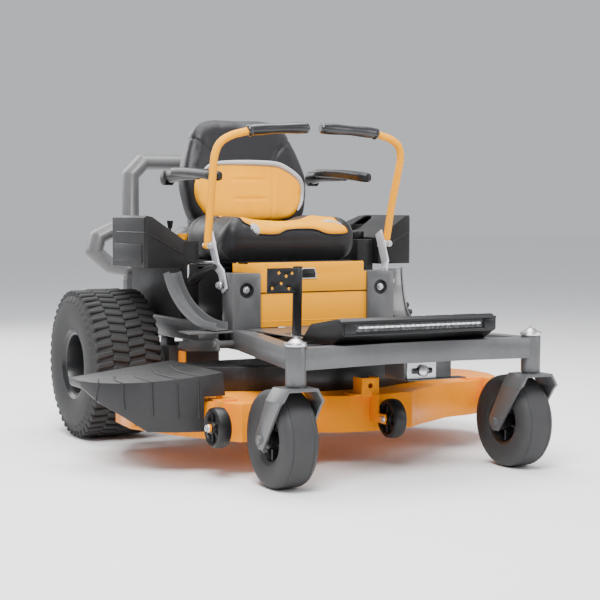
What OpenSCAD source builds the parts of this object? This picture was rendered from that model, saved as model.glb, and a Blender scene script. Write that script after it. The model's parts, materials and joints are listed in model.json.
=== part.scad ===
// Zero turn mower, millimetres. X across (positive towards the machine's left),
// Y along (negative is forwards), Z up, ground at zero.

/* [Overall] */
// Rear axle to caster pivots
wheelbase = 1229; // [1100:1:1400]
// Distance between the rear wheels' centre planes
rear_track = 1010; // [960:1:1150]
// Distance between the caster pivots
caster_track = 789; // [700:1:900]
// Height of the frame rails' top face
frame_top = 400; // [390:1:480]

/* [Rear wheels] */
// Outer diameter of the drive tyres
rear_tyre_d = 508; // [440:1:560]
// Width of the drive tyres
rear_tyre_w = 254; // [200:1:260]
// Diameter of the drive rims' bead seat
rear_rim_d = 203; // [180:1:260]
// Diameter of the axle shafts
axle_d = 32; // [24:1:38]

/* [Front casters] */
// Outer diameter of the caster tyres
caster_d = 281; // [230:1:300]
// Width of the caster tyres
caster_w = 105; // [80:1:120]
// Distance from the caster pivot back to its axle
caster_trail = 84; // [60:1:100]
// Outer diameter of the caster tubes
caster_tube_d = 58; // [48:1:70]
// Diameter of the fork stems
stem_d = 32; // [25:1:38]
// Thickness of the fork plate
fork_t = 8; // [5:0.5:12]

/* [Frame] */
// Height of the rail tubes
rail_h = 60; // [50:1:60]
// Width of the rail tubes
rail_w = 50; // [40:1:54]
// Wall of the frame tubes
tube_wall = 3; // [2:0.5:5]
// Distance between the rails' centre lines
rail_gap = 540; // [520:1:560]
// Width of each seat tower
tower_w = 98; // [80:1:104]
// Height of the seat towers
tower_h = 178; // [160:1:200]
// Thickness of sheet-metal panels
sheet = 3; // [2:0.5:4]

/* [Deck] */
// Length of each blade
blade_len = 430; // [380:1:430]
// Sideways distance between neighbouring spindles
spindle_pitch = 420; // [420:1:460]
// How far the middle spindle stands ahead of the outer two
spindle_lead = 170; // [150:1:190]
// Height of the deck's lower lip with the deck raised
deck_lip = 104; // [90:1:115]
// Height of the deck's skirt
deck_h = 112; // [100:1:120]
// Thickness of the deck's steel
deck_t = 4; // [3:0.5:6]
// Diameter of the guide wheels
guide_wheel_d = 119; // [100:1:125]
// Width of the guide wheels
guide_wheel_w = 45; // [35:1:50]

/* [Discharge chute] */
// Reach of the chute beyond its hinge
chute_reach = 335; // [280:1:360]
// Length of the chute along the hinge
chute_len = 400; // [360:1:420]
// Thickness of the chute's moulding
chute_t = 5; // [3:0.5:7]

/* [Seat] */
// Width of the seat
seat_w = 524; // [440:1:540]
// Depth of the seat cushion
cushion_depth = 400; // [360:1:420]
// Thickness of the seat cushion
cushion_h = 140; // [100:1:150]
// Height of the backrest's top above the ground
seat_top = 1126; // [1060:1:1180]
// Lean of the backrest
seat_lean = 12; // [5:1:20]

/* [Controls] */
// Diameter of the lap bar tubes
lap_bar_d = 25; // [22:1:32]
// Height of the grips
grip_z = 1041; // [980:1:1080]
// Gap between the two grips
grip_gap = 41; // [30:1:80]
// Diameter of the grips
grip_d = 36; // [34:1:42]

/* [Bodywork] */
// Height of the fenders' top ridge
fender_top = 760; // [730:1:790]
// Outer reach of the fenders from the middle
fender_reach = 500; // [460:1:540]
// Inner diameter of the cup holder
cup_d = 84; // [70:1:90]
// Outer diameter of the rear guard's tube
guard_d = 60; // [45:1:64]
// Front-to-back depth of the guard's oval tube
guard_deep = 90; // [60:1:110]
// Height of the rear guard's top
guard_top = 988; // [900:1:1020]
// Diameter of the hitch hole
hitch_d = 19; // [13:1:25]

/* [Hidden] */
$fn = 48;
running = 0.06;
half_rail = rail_gap / 2;
rail_in = half_rail - rail_w / 2;
rail_out = half_rail + rail_w / 2;
rail_bot = frame_top - rail_h;
axle_z = rear_tyre_d / 2;
half_track = rear_track / 2;
caster_x = caster_track / 2;
caster_y = -wheelbase;
caster_axle_z = caster_d / 2;
front_y = -wheelbase + 44;

// Cabin planes, measured from the rear axle
tower_y = -600;
tower_depth = 80;
tower_out = rail_out - 1;
tower_in = tower_out - tower_w;
panel_y = tower_y + 12;
seat_y = -470;
seat_floor = frame_top + 209;
tower_top = frame_top + tower_h;

// Lever pivots and lap bars
lever_y = -545;
lever_z = tower_top - 38;
lever_x = tower_out + 6;
bar_x = lever_x + 31;
bar_foot = [bar_x, -487, lever_z + 125];
pin_d = 20;

// Deck plan
deck_cx = 30;
mid_spindle_y = -715;
side_spindle_y = mid_spindle_y + spindle_lead;
deck_top = deck_lip + deck_h;
spindles = [[deck_cx - spindle_pitch, side_spindle_y],
            [deck_cx, mid_spindle_y],
            [deck_cx + spindle_pitch, side_spindle_y]];
blade_clear = 6;
reach = blade_len / 2 + blade_clear + deck_t;
deck_left = deck_cx + spindle_pitch + reach;
deck_right = deck_cx - spindle_pitch - reach - 8;
deck_rear = side_spindle_y + reach + 2;
deck_front = mid_spindle_y - reach;
spindle_d = 24;
cover_top = deck_top + 76;
guide_r = guide_wheel_d / 2;
guides = [[deck_right + 119, deck_front - 10], [deck_cx + 10, deck_front - 78],
          [deck_left - 90, deck_front + 130]];
guide_z = deck_lip + 48;
hinge_x = deck_right + 170;
hinge_z = deck_top + 72;
hinge_d = 10;
chute_front = side_spindle_y - 315;
chute_slope = 6.4;
lift_y = -600;
lift_z = rail_bot + 17;
lift_d = 25;
lift_arm = 290;
pedal_x = -205;
pedal_y = -865;

// Bodywork
fender_in = 366;
fender_front = -376;
fender_rear = 120;
fender_wall = 4;
fender_low = fender_top - 168;
console_top = fender_top - 84;
console_in = 300;
cup_x = (fender_in + fender_reach) / 2 + 8;
cup_y = -120;

// Drive line
plate_t = 6;
crank_y = 170;
pulley_z = rail_bot - 12;
input_x = 150;
transaxle_top = pulley_z - 20;

// Plan box of the whole machine, which centres the part on its origin
box_right = hinge_x - chute_reach;
box_front = caster_y + caster_trail - caster_d / 2;
guard_y = 450;
box_rear = guard_y + guard_d / 2;
mid_x = (box_right + deck_left) / 2;
mid_y = (box_front + box_rear) / 2;

// Colours
graphite = [0.20, 0.20, 0.21];
black = [0.05, 0.05, 0.055];
yellow = [0.95, 0.55, 0.02];
orange = [0.85, 0.42, 0.01];
zinc = [0.75, 0.75, 0.77];
rubber = [0.07, 0.07, 0.07];
grey = [0.35, 0.35, 0.36];

module place() { translate([-mid_x, -mid_y, 0]) children(); }
module other_side() { mirror([1, 0, 0]) children(); }
module both_sides() { children(); other_side() children(); }

// Outline helpers: a bar of constant width along a route, and a closed outline drawn in
function unit(v) = v / norm(v);
function side_of(a, b) = let(d = unit(b - a)) [-d[1], d[0]];
function corner(n1, n2) = let(m = unit(n1 + n2)) m / (m * n1);
function across(p, i) =
    i == 0 ? side_of(p[0], p[1]) :
    i == len(p) - 1 ? side_of(p[i - 1], p[i]) :
    corner(side_of(p[i - 1], p[i]), side_of(p[i], p[i + 1]));
function strip(p, half) = concat(
    [for (i = [0:len(p) - 1]) p[i] + across(p, i) * half],
    [for (i = [len(p) - 1:-1:0]) p[i] - across(p, i) * half]);
function inset(p, d) = let(n = len(p)) [for (i = [0:n - 1])
    p[i] + corner(side_of(p[(i + n - 1) % n], p[i]), side_of(p[i], p[(i + 1) % n])) * d];
function longer(p, d) = let(n = len(p)) [for (i = [0:n - 1])
    i == 0 ? p[0] - unit(p[1] - p[0]) * d :
    i == n - 1 ? p[i] + unit(p[i] - p[i - 1]) * d : p[i]];

module bar(p, w, h) { linear_extrude(h) polygon(strip(p, w / 2)); }
module tube_bar(p, w, h, wall) {
    difference() {
        bar(p, w, h);
        translate([0, 0, wall]) bar(longer(p, 1), w - 2 * wall, h - 2 * wall);
    }
}
module block(lo, hi) { translate(lo) cube(hi - lo); }
module along_x(r, x0, x1) { translate([x0, 0, 0]) rotate([0, 90, 0]) cylinder(r = r, h = x1 - x0); }
module along_y(r, y0, y1) { translate([0, y1, 0]) rotate([90, 0, 0]) cylinder(r = r, h = y1 - y0); }
module rod(a, b, r) {
    d = b - a;
    translate(a) rotate([0, acos(d[2] / norm(d)), atan2(d[1], d[0])]) cylinder(r = r, h = norm(d));
}
module bent_rod(p, r, deep = 1) {
    for (i = [0:len(p) - 2]) hull() for (c = [p[i], p[i + 1]])
        translate(c) scale([1, deep, 1]) sphere(r, $fn = 28);
}
// Upright outline in X and Z, pushed from y0 to y1
module push_y(y0, y1) { translate([0, y1, 0]) rotate([90, 0, 0]) linear_extrude(y1 - y0) children(); }
// Upright outline in Y and Z, pushed from x0 to x1
module push_x(x0, x1) {
    translate([x0, 0, 0]) rotate([90, 0, 90]) linear_extrude(x1 - x0) children();
}

// ---- Frame ----
rail_route = [[-half_rail, 300], [-half_rail, -640], [-caster_x + 8, caster_y + 14]];
beam_route = [[-caster_x, caster_y], [-90, front_y], [90, front_y], [caster_x, caster_y]];

module tube_clearance() {
    both_sides() translate([-caster_x, caster_y, 0]) cylinder(d = caster_tube_d + 0.4, h = 600);
}

module main_rails() color(graphite) place() both_sides() {
    difference() {
        translate([0, 0, rail_bot]) tube_bar(rail_route, rail_w, rail_h, tube_wall);
        translate([0, 0, rail_bot - 1]) bar(beam_route, rail_w, rail_h + 2);
        tube_clearance();
        translate([0, lift_y, lift_z]) along_x(lift_d / 2 + running, -rail_out - 1, -rail_in + 1);
    }
}

hanger_y = front_y + 64;
module front_beam() color(graphite) place() {
    difference() {
        translate([0, 0, rail_bot]) tube_bar(beam_route, rail_w, rail_h, tube_wall);
        tube_clearance();
    }
    // Sheet tray that hangs behind the beam
    block([19, front_y - 10, rail_bot - 3], [183, hanger_y + 110, rail_bot]);
    difference() {
        block([19, hanger_y, rail_bot - 62], [183, hanger_y + 110, rail_bot - 2]);
        block([22, hanger_y + 3, rail_bot - 59], [180, hanger_y + 111, rail_bot - 3]);
    }
    block([19, hanger_y - 22, rail_bot - 62], [223, hanger_y + 20, rail_bot - 59]);
}

tube_low = caster_d + 16;
module caster_tubes() color(graphite) place() both_sides() {
    translate([-caster_x, caster_y, tube_low]) difference() {
        cylinder(d = caster_tube_d, h = frame_top + 6 - tube_low);
        translate([0, 0, -1]) cylinder(d = stem_d + 2 * running, h = frame_top);
    }
}

module rear_frame() color(graphite) place() {
    difference() {
        union() {
            block([-rail_in, -40, frame_top - plate_t], [rail_in, 300, frame_top]);
            block([-rail_out - 20, 300.5, rail_bot - 30], [rail_out + 20, 308, frame_top + 30]);
            block([-rail_in, 290, frame_top - plate_t], [rail_in, 301, frame_top]);
            block([-50, 308, rail_bot - 20], [50, 360, rail_bot - 12]);
            both_sides() block([-rail_out - 10, 308, rail_bot - 20], [-rail_out + 30, 348, 520]);
        }
        translate([0, crank_y, 0]) cylinder(r = 30, h = 600);
        translate([0, 338, 0]) cylinder(d = hitch_d, h = rail_bot);
        both_sides() translate([-input_x, 0, 0]) cylinder(r = 12, h = 600);
    }
}

recess_r = 22;
tower_mid = (tower_in + tower_out) / 2;
recess_z = tower_top - 53;
module seat_tower() {
    difference() {
        block([-tower_out, tower_y, frame_top], [-tower_in, tower_y + tower_depth, tower_top]);
        block([-tower_out + sheet, tower_y + sheet + 12, frame_top - 1],
              [-tower_in - sheet, tower_y + tower_depth + 1, tower_top - sheet]);
        block([-tower_out + sheet, tower_y + sheet, frame_top - 1],
              [-tower_in - sheet, tower_y + sheet + 13, recess_z - recess_r - 8]);
        translate([-tower_mid, 0, recess_z]) rotate([-90, 0, 0]) translate([0, 0, tower_y - 0.01])
            cylinder(r1 = recess_r, r2 = recess_r - 6, h = 10);
    }
    translate([0, lever_y, lever_z]) along_x(pin_d / 2, -lever_x - 10, -tower_out + 0.01);
    translate([0, lever_y, lever_z]) along_x(pin_d / 2 + 5, -lever_x - 15, -lever_x - 10);
}
module seat_towers() color(graphite) place() both_sides() seat_tower();

brace_r = tower_h + 62;
brace_x = tower_out + 38;
brace_w = 58;
brace_turn = atan2(270, -112);
module fender_brace() {
    translate([-brace_x, tower_y, frame_top + brace_r]) rotate([0, 0, brace_turn])
        rotate([90, 0, 0]) rotate([0, 0, -90]) rotate_extrude(angle = 74)
            polygon([[brace_r, -brace_w / 2], [brace_r, brace_w / 2], [brace_r - 26, brace_w / 2],
                     [brace_r - 26, brace_w / 2 - 4], [brace_r - 4, brace_w / 2 - 4],
                     [brace_r - 4, 4 - brace_w / 2], [brace_r - 26, 4 - brace_w / 2],
                     [brace_r - 26, -brace_w / 2]]);
    block([-tower_out - 150, tower_y - 8, frame_top - 8], [-tower_out - 2, tower_y + 82, frame_top - 2]);
    difference() {
        block([-tower_out - 40, lift_y + 26, frame_top - 42], [-tower_out - 6, tower_y + 180, frame_top - 8]);
        block([-tower_out - 37, lift_y + 25, frame_top - 39], [-tower_out - 9, tower_y + 181, frame_top - 11]);
    }
}
module fender_braces() color(graphite) place() both_sides() fender_brace();

module seat_box() color(black) place() {
    difference() {
        block([-240, tower_y + tower_depth + 1, frame_top], [240, -60, tower_top - 1]);
        block([-237, tower_y + tower_depth + 4, frame_top + 3], [237, -63, seat_floor]);
    }
}

// ---- Operator's platform ----
pan_w = 250;
pedal_slot = [[pedal_x - 16, pedal_y - 75], [pedal_x + 16, pedal_y + 60]];
module floor_pan() color(graphite) place() {
    difference() {
        block([-pan_w, -1000, frame_top], [pan_w, tower_y - 4, frame_top + sheet]);
        block([pedal_slot[0][0], pedal_slot[0][1], frame_top - 1],
              [pedal_slot[1][0], pedal_slot[1][1], frame_top + 5]);
    }
}

rest_front = caster_y - 16;
rest_w = 257;
rest_side = [[rest_front, frame_top + 32], [rest_front, frame_top + 66], [rest_front + 22, frame_top + 76],
             [rest_front + 190, frame_top + 50], [-1001, frame_top + 3], [-1001, frame_top + 0.2],
             [rest_front + 60, frame_top + 0.2]];
module foot_rest() color(black) place() {
    difference() {
        push_x(-rest_w, rest_w) polygon(rest_side);
        push_x(-rest_w + 5, rest_w - 5) polygon([
            [rest_front + 6, frame_top + 38], [rest_front + 6, frame_top + 62],
            [rest_front + 24, frame_top + 70], [rest_front + 188, frame_top + 44], [-1008, frame_top + 2],
            [-1008, frame_top - 2], [rest_front + 64, frame_top - 2]]);
        block([-213, rest_front - 1, frame_top + 38], [213, rest_front + 8, frame_top + 58]);
    }
}

module light_bar() color([0.85, 0.87, 0.9]) place() {
    block([-212, rest_front + 1, frame_top + 39], [212, rest_front + 22, frame_top + 57]);
}

panel_half = tower_in - 2;
module lower_panel() color(yellow) place() {
    low = frame_top + sheet + 1;
    translate([0, 0, low])
        bar([[-panel_half, panel_y + 60], [-panel_half, panel_y], [panel_half, panel_y],
             [panel_half, panel_y + 60]], sheet, frame_top + 112 - low);
}

module upper_panel() color(yellow) place() {
    low = frame_top + 116;
    high = frame_top + 206;
    route = [[-panel_half - 44, panel_y + 108], [-panel_half - 40, panel_y + 92],
             [-panel_half + 12, panel_y - 4],
             [panel_half - 12, panel_y - 4], [panel_half + 40, panel_y + 92], [panel_half + 44, panel_y + 108]];
    difference() {
        union() {
            translate([0, 0, low]) bar([[-panel_half + 2, panel_y + 50], [-panel_half + 2, panel_y - 4],
                [panel_half - 2, panel_y - 4], [panel_half - 2, panel_y + 50]], sheet, tower_top - low);
            translate([0, 0, tower_top]) bar(route, sheet, high - tower_top);
            translate([0, 0, high]) linear_extrude(sheet)
                polygon([[-panel_half - 40, panel_y + 92], [-panel_half + 12, panel_y - 5.5],
                         [panel_half - 12, panel_y - 5.5], [panel_half + 40, panel_y + 92]]);
        }
        block([-46, panel_y - 10, high - 42], [2, panel_y, high - 22]);
        block([-230, panel_y + 50, high - 1], [230, panel_y + 120, high + 5]);
    }
}

// ---- Bodywork ----
function fender_line(w) = [
    [-fender_reach + w, fender_low - 1], [-fender_reach + w, fender_top - 7 - w],
    [-fender_reach + 8 + w, fender_top - w], [-fender_reach + 26, fender_top - 4 - w * 1.3],
    [-fender_in - w, console_top + 6 - w * 1.3], [-fender_in - w, fender_low - 1]];
module fender_body(front, rear, w) {
    intersection() {
        push_y(front, rear) polygon(fender_line(w));
        translate([0, 0, fender_low - 20]) linear_extrude(400)
            polygon([[-fender_in - w, front], [-fender_reach + 10, front], [-fender_reach + w, front + 10],
                     [-fender_reach + w, -76 + w], [-fender_reach + 70 + w, 8 + w],
                     [-fender_reach + 84 + w, rear], [-fender_in - w, rear]]);
    }
}
module fender() {
    difference() {
        fender_body(fender_front, fender_rear, 0);
        translate([0, 0, -2]) fender_body(fender_front + fender_wall, fender_rear - fender_wall, fender_wall);
    }
}
module fender_right() color(black) place() fender();
cup_top = console_top + 50;
module fender_left() color(black) place() {
    difference() {
        union() {
            other_side() fender();
            translate([cup_x, cup_y, cup_top - 86]) cylinder(d = cup_d + 8, h = 86);
        }
        translate([cup_x, cup_y, cup_top - 82]) cylinder(d = cup_d, h = 200);
    }
}

console_front = -345;
console_rear = 100;
module battery_cover() color(black) place() {
    difference() {
        block([-fender_in + 2, console_front, frame_top + 22], [-console_in, console_rear, console_top]);
        block([-fender_in + 6, console_front + 4, frame_top + 21],
              [-console_in - 4, console_rear - 4, console_top - 4]);
        translate([-333, -290, console_top - 10]) cylinder(r = 6 + running, h = 20);
        block([-337, -215, console_top - 5], [-329, -145, console_top + 1]);
    }
}

module blade_switch() color([0.75, 0.55, 0.05]) place() translate([-333, -290, 0]) {
    translate([0, 0, console_top - 18]) cylinder(r = 6, h = 24);
    translate([0, 0, console_top + 4]) cylinder(r1 = 14, r2 = 19, h = 20);
}

throttle_z = console_top - 34;
module throttle_lever() color(black) place() {
    translate([0, -180, throttle_z]) along_x(9, -336, -330);
    block([-336, -183, throttle_z], [-330, -177, console_top + 40]);
    translate([0, 0, console_top + 40]) translate([-333, -180, 0]) cylinder(r1 = 7, r2 = 11, h = 26);
}

module fuel_tank() color(black) place() {
    block([console_in, console_front, frame_top + 22], [fender_in - 2, console_rear, console_top]);
    translate([333, -270, console_top]) cylinder(r = 24, h = 14);
}

module fuel_cap() color(black) place() translate([333, -270, console_top + 1]) {
    difference() {
        cylinder(r = 31, h = 26);
        translate([0, 0, -1]) cylinder(r = 24 + running, h = 14.5);
    }
}

module battery() color(grey) place() {
    block([-95, -330, frame_top + 3.2], [95, -170, frame_top + 160]);
    for (x = [-65, 65]) translate([x, -195, frame_top + 160]) cylinder(r = 8, h = 14);
}

// ---- Engine and drive ----
module engine_block() color(grey) place() {
    difference() {
        translate([0, crank_y, frame_top]) cylinder(r = 112, h = 150);
        translate([0, crank_y, frame_top - 1]) cylinder(r = 24, h = 60);
    }
    for (side = [-1, 1]) translate([side * 90, crank_y + 30, frame_top + 90])
        rotate([0, side * 90, 0]) {
            cylinder(r = 52, h = 90);
            for (k = [0:5]) translate([0, 0, 16 + k * 12]) cylinder(r = 66, h = 5);
        }
}

shroud_low = frame_top + 160;
shroud_r = 178;
module engine_shroud() color(black) place() translate([0, crank_y, shroud_low]) {
    difference() {
        union() {
            cylinder(r = shroud_r, h = 120);
            translate([0, 0, 120]) cylinder(r1 = shroud_r, r2 = shroud_r - 38, h = 34);
            translate([0, 0, 154]) cylinder(r = 112, h = 40);
        }
        translate([0, 0, -1]) cylinder(r = shroud_r - 4, h = 118);
        translate([0, 0, 190]) cylinder(r = 104, h = 5);
    }
}

module muffler() color(grey) place() {
    translate([0, 360, frame_top + 70]) along_x(44, -150, 150);
    rod([-110, 360, frame_top + 70], [-110, 412, frame_top + 40], 13);
}

guard_half = 240;
hoop_y = box_rear - guard_deep / 2;
module rear_guard() color([0.28, 0.28, 0.29]) place() {
    top = guard_top - guard_d / 2;
    side = [[-rail_out + 6, 345, 560], [-guard_half - 90, hoop_y - 20, 568],
            [-guard_half - 146, hoop_y, 620], [-guard_half - 130, hoop_y, 676],
            [-guard_half, hoop_y, 735], [-guard_half, hoop_y, top - 50], [-guard_half + 50, hoop_y, top]];
    bent_rod(concat(side, [for (i = [len(side) - 1:-1:0]) [-side[i][0], side[i][1], side[i][2]]]),
             guard_d / 2, guard_deep / guard_d);
    both_sides() block([-rail_out - 8, 309, 521], [-rail_out + 20, 345, 570]);
}

module transaxle() {
    difference() {
        union() {
            block([-300, -85, axle_z - 70], [-110, 85, transaxle_top]);
            translate([0, 0, axle_z]) along_x(46, -half_track + rear_tyre_w / 2 + 8, -299);
            block([-rail_out + 10, -30, transaxle_top - 20], [-rail_in - 10, 30, rail_bot]);
        }
        translate([0, 0, axle_z]) along_x(axle_d / 2 + running, -half_track, -228);
    }
    translate([-input_x, 0, transaxle_top]) cylinder(r = 9, h = pulley_z - transaxle_top - 16);
}
module transaxles() color(grey) place() both_sides() transaxle();

// A flat-belt pulley with two flanges, standing on z = 0
module pulley(r, h) {
    cylinder(r = r - 10, h = h);
    cylinder(r = r, h = 4);
    translate([0, 0, h - 4]) cylinder(r = r, h = 4);
}
belt_pulleys = [[-input_x, 0], [input_x, 0], [0, crank_y]];
module belt_loop(centres, r, h) {
    linear_extrude(h) difference() {
        hull() for (c = centres) translate(c) circle(r = r);
        hull() for (c = centres) translate(c) circle(r = r - 8);
    }
}
module drive_belt() color(rubber) place()
    translate([0, 0, pulley_z - 11]) belt_loop(belt_pulleys, 60, 10);
module crank_pulley() color(zinc) place() translate([0, crank_y, pulley_z - 15]) {
    pulley(61, 18);
    translate([0, 0, -26]) pulley(61, 18);
    translate([0, 0, -8.5]) cylinder(r = 40, h = 9);
    translate([0, 0, 17]) cylinder(r = 14, h = frame_top + 50 - pulley_z);
}
module input_pulley() translate([-input_x, 0, pulley_z - 15]) {
    pulley(61, 18);
}
module input_pulley_right() color(zinc) place() input_pulley();
module input_pulley_left() color(zinc) place() other_side() input_pulley();

module bolt_head(r, h) {
    cylinder(r = r, h = h);
    translate([0, 0, h]) cylinder(r1 = r, r2 = r * 0.5, h = h * 0.4);
}
module frame_bolts() color(zinc) place() {
    both_sides() translate([-tower_mid, tower_y + 9.99, recess_z]) rotate([90, 0, 0]) bolt_head(11, 5);
    both_sides() translate([-110, 300, rail_bot]) rotate([0, 0, 0]) translate([0, 8, 20]) rotate([-90, 0, 0])
        cylinder(r = 9, h = 6, $fn = 6);
}

// ---- Wheels ----
function tread_line(r, w, bead) = [
    [bead, -w * 0.36], [bead + (r - bead) * 0.35, -w * 0.48], [bead + (r - bead) * 0.6, -w * 0.5],
    [bead + (r - bead) * 0.84, -w * 0.47], [r - 5, -w * 0.38], [r, -w * 0.25], [r, w * 0.25],
    [r - 5, w * 0.38], [bead + (r - bead) * 0.84, w * 0.47], [bead + (r - bead) * 0.6, w * 0.5],
    [bead + (r - bead) * 0.35, w * 0.48], [bead, w * 0.36]];
module wheel_turn() { rotate([0, 90, 0]) rotate_extrude($fn = 96) children(); }

module rear_tyre(side) translate([side * half_track, 0, axle_z])
    wheel_turn() polygon(tread_line(rear_tyre_d / 2, rear_tyre_w, rear_rim_d / 2 + 1));
module rear_rim(side) {
    r = rear_rim_d / 2;
    w = rear_tyre_w * 0.36;
    translate([side * half_track, 0, axle_z]) mirror([side < 0 ? 1 : 0, 0, 0]) {
        difference() {
            wheel_turn() polygon([[r - 4, -w - 8], [r - 4, w + 8], [r + 18, w + 20], [r + 18, w + 26],
                                  [r - 8, w + 12], [r - 8, 20], [axle_d / 2, 4], [axle_d / 2, -4],
                                  [r - 8, 12], [r - 8, -w - 12], [r + 18, -w - 26], [r + 18, -w - 20]]);
            for (k = [0:4]) rotate([k * 72, 0, 0]) translate([0, 0, 57]) along_x(7, -40, 40);
        }
        for (k = [0:4]) rotate([k * 72, 0, 0]) translate([0, 0, 57]) {
            along_x(7, -14, 26);
            along_x(11, 17, 30);
        }
        along_x(axle_d / 2, -half_track + 232, 12);
        along_x(44, -30, 4);
    }
}
module rear_tyre_right() color(rubber) place() rear_tyre(-1);
module rear_tyre_left() color(rubber) place() rear_tyre(1);
module rear_rim_right() color(graphite) place() rear_rim(-1);
module rear_rim_left() color(graphite) place() rear_rim(1);

leg_x = caster_w / 2 + 8;
fork_top = tube_low - 5;
pin_r = 8;
module caster_fork() {
    intersection() {
        push_y(-90, 170) polygon(strip([[-leg_x - fork_t / 2, 90], [-leg_x - fork_t / 2, fork_top - 38],
            [-leg_x + 16, fork_top - fork_t / 2], [leg_x - 16, fork_top - fork_t / 2],
            [leg_x + fork_t / 2, fork_top - 38], [leg_x + fork_t / 2, 90]], fork_t / 2));
        push_x(-leg_x - 30, leg_x + 30) polygon([
            [-46, fork_top + 2], [46, fork_top + 2], [52, fork_top - 40],
            [caster_trail + 30, caster_axle_z + 12],
            [caster_trail + 30, caster_axle_z - 12], [caster_trail + 12, caster_axle_z - 28],
            [caster_trail - 14, caster_axle_z - 28], [caster_trail - 30, caster_axle_z - 8],
            [-30, fork_top - 48], [-46, fork_top - 34]]);
    }
    translate([0, 0, fork_top - 1]) cylinder(d = caster_tube_d - 8, h = 5.4);
    translate([0, 0, fork_top - 1]) cylinder(d = stem_d, h = frame_top + 8 - fork_top);
    translate([0, 0, frame_top + 6.5]) {
        cylinder(d = caster_tube_d + 2, h = 7);
        translate([0, 0, 7]) cylinder(d1 = caster_tube_d - 8, d2 = 22, h = 5);
        translate([0, 0, 11]) cylinder(d = 8, h = 14);
        translate([0, 0, 22]) sphere(d = 11);
    }
    translate([0, caster_trail, caster_axle_z]) {
        along_x(pin_r, -leg_x - fork_t - 1, leg_x + fork_t + 1);
        along_x(13, -leg_x - fork_t - 9, -leg_x - fork_t);
        along_x(13, leg_x + fork_t, leg_x + fork_t + 9);
    }
}
module caster_fork_right() color(graphite) place() translate([-caster_x, caster_y, 0]) caster_fork();
module caster_fork_left() color(graphite) place() translate([caster_x, caster_y, 0]) caster_fork();
module caster_wheel() translate([0, caster_trail, caster_axle_z]) {
    r = caster_d * 0.235;
    wheel_turn() polygon(tread_line(caster_d / 2, caster_w, r));
    difference() {
        wheel_turn() polygon([[r + 1, -caster_w * 0.36], [r + 1, caster_w * 0.36], [r - 7, caster_w * 0.36],
                              [r - 9, 8], [28, 5], [28, caster_w * 0.44], [pin_r + running, caster_w * 0.44],
                              [pin_r + running, -caster_w * 0.44], [28, -caster_w * 0.44], [28, -5],
                              [r - 9, -8], [r - 7, -caster_w * 0.36]]);
        for (k = [0:4]) rotate([k * 72, 0, 0]) translate([0, 0, 42]) along_x(8, -20, 20);
    }
}
module caster_wheel_right() color(rubber) place() translate([-caster_x, caster_y, 0]) caster_wheel();
module caster_wheel_left() color(rubber) place() translate([caster_x, caster_y, 0]) caster_wheel();

// ---- Mower deck ----
// Corners run anticlockwise from the discharge side, each tied to a spindle or an edge
deck_outline = [
    [deck_right + 194, deck_front - 15], [deck_right + 487, deck_front + 50], [deck_cx - 109, deck_front + 16],
    [deck_cx, deck_front], [deck_cx + 138, deck_front + 16], [deck_cx + 200, deck_front + 62],
    [deck_left - 292, side_spindle_y - reach - 20], [deck_left - 196, side_spindle_y - reach - 3],
    [deck_left - 86, side_spindle_y - 190], [deck_left - 24, side_spindle_y - 130],
    [deck_left, side_spindle_y - 55],
    [deck_left, side_spindle_y + 60], [deck_left - 40, side_spindle_y + 150], [deck_left - 120, deck_rear],
    [deck_right + 60, deck_rear], [deck_right + 12, side_spindle_y + 150], [deck_right, side_spindle_y - 10],
    [deck_right + 78, side_spindle_y - 215]];

module deck_shell() color(orange) place() {
    difference() {
        union() {
            difference() {
                translate([0, 0, deck_lip]) linear_extrude(deck_h) polygon(deck_outline);
                translate([0, 0, deck_lip - 1]) linear_extrude(deck_h + 1 - deck_t)
                    polygon(inset(deck_outline, deck_t));
                translate([deck_right + 48, side_spindle_y - 110, deck_lip + 12]) rotate([0, 0, 22])
                    block([-60, -88, 0], [40, 88, deck_h - 24]);
            }
            for (s = spindles) translate([s[0], s[1], deck_lip + 44]) cylinder(r = 38, h = deck_h - 38);
        }
        for (s = spindles) translate([s[0], s[1], 0]) cylinder(d = spindle_d + 2 * running, h = 400);
    }
}

module guide_arms() {
    for (g = guides) translate([g[0], g[1], 0]) {
        arm = g[0] < 0 ? 1 : -1;
        x0 = arm > 0 ? guide_wheel_w / 2 + 4 : -guide_wheel_w / 2 - 10;
        block([x0, -10, guide_z - 14], [x0 + 6, 80, guide_z + 14]);
        block([x0, 30, guide_z - 14], [x0 + 6, 90, deck_top + 6]);
        block([arm > 0 ? x0 : x0 - 60, 66, deck_top], [arm > 0 ? x0 + 66 : x0 + 6, 130, deck_top + 6]);
        translate([0, 0, guide_z]) along_x(7, -guide_wheel_w / 2 - 5, guide_wheel_w / 2 + 5);
        translate([0, 0, guide_z]) along_x(12, arm > 0 ? -guide_wheel_w / 2 - 9 : guide_wheel_w / 2 + 1,
            arm > 0 ? -guide_wheel_w / 2 - 1 : guide_wheel_w / 2 + 9);
    }
}

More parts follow.
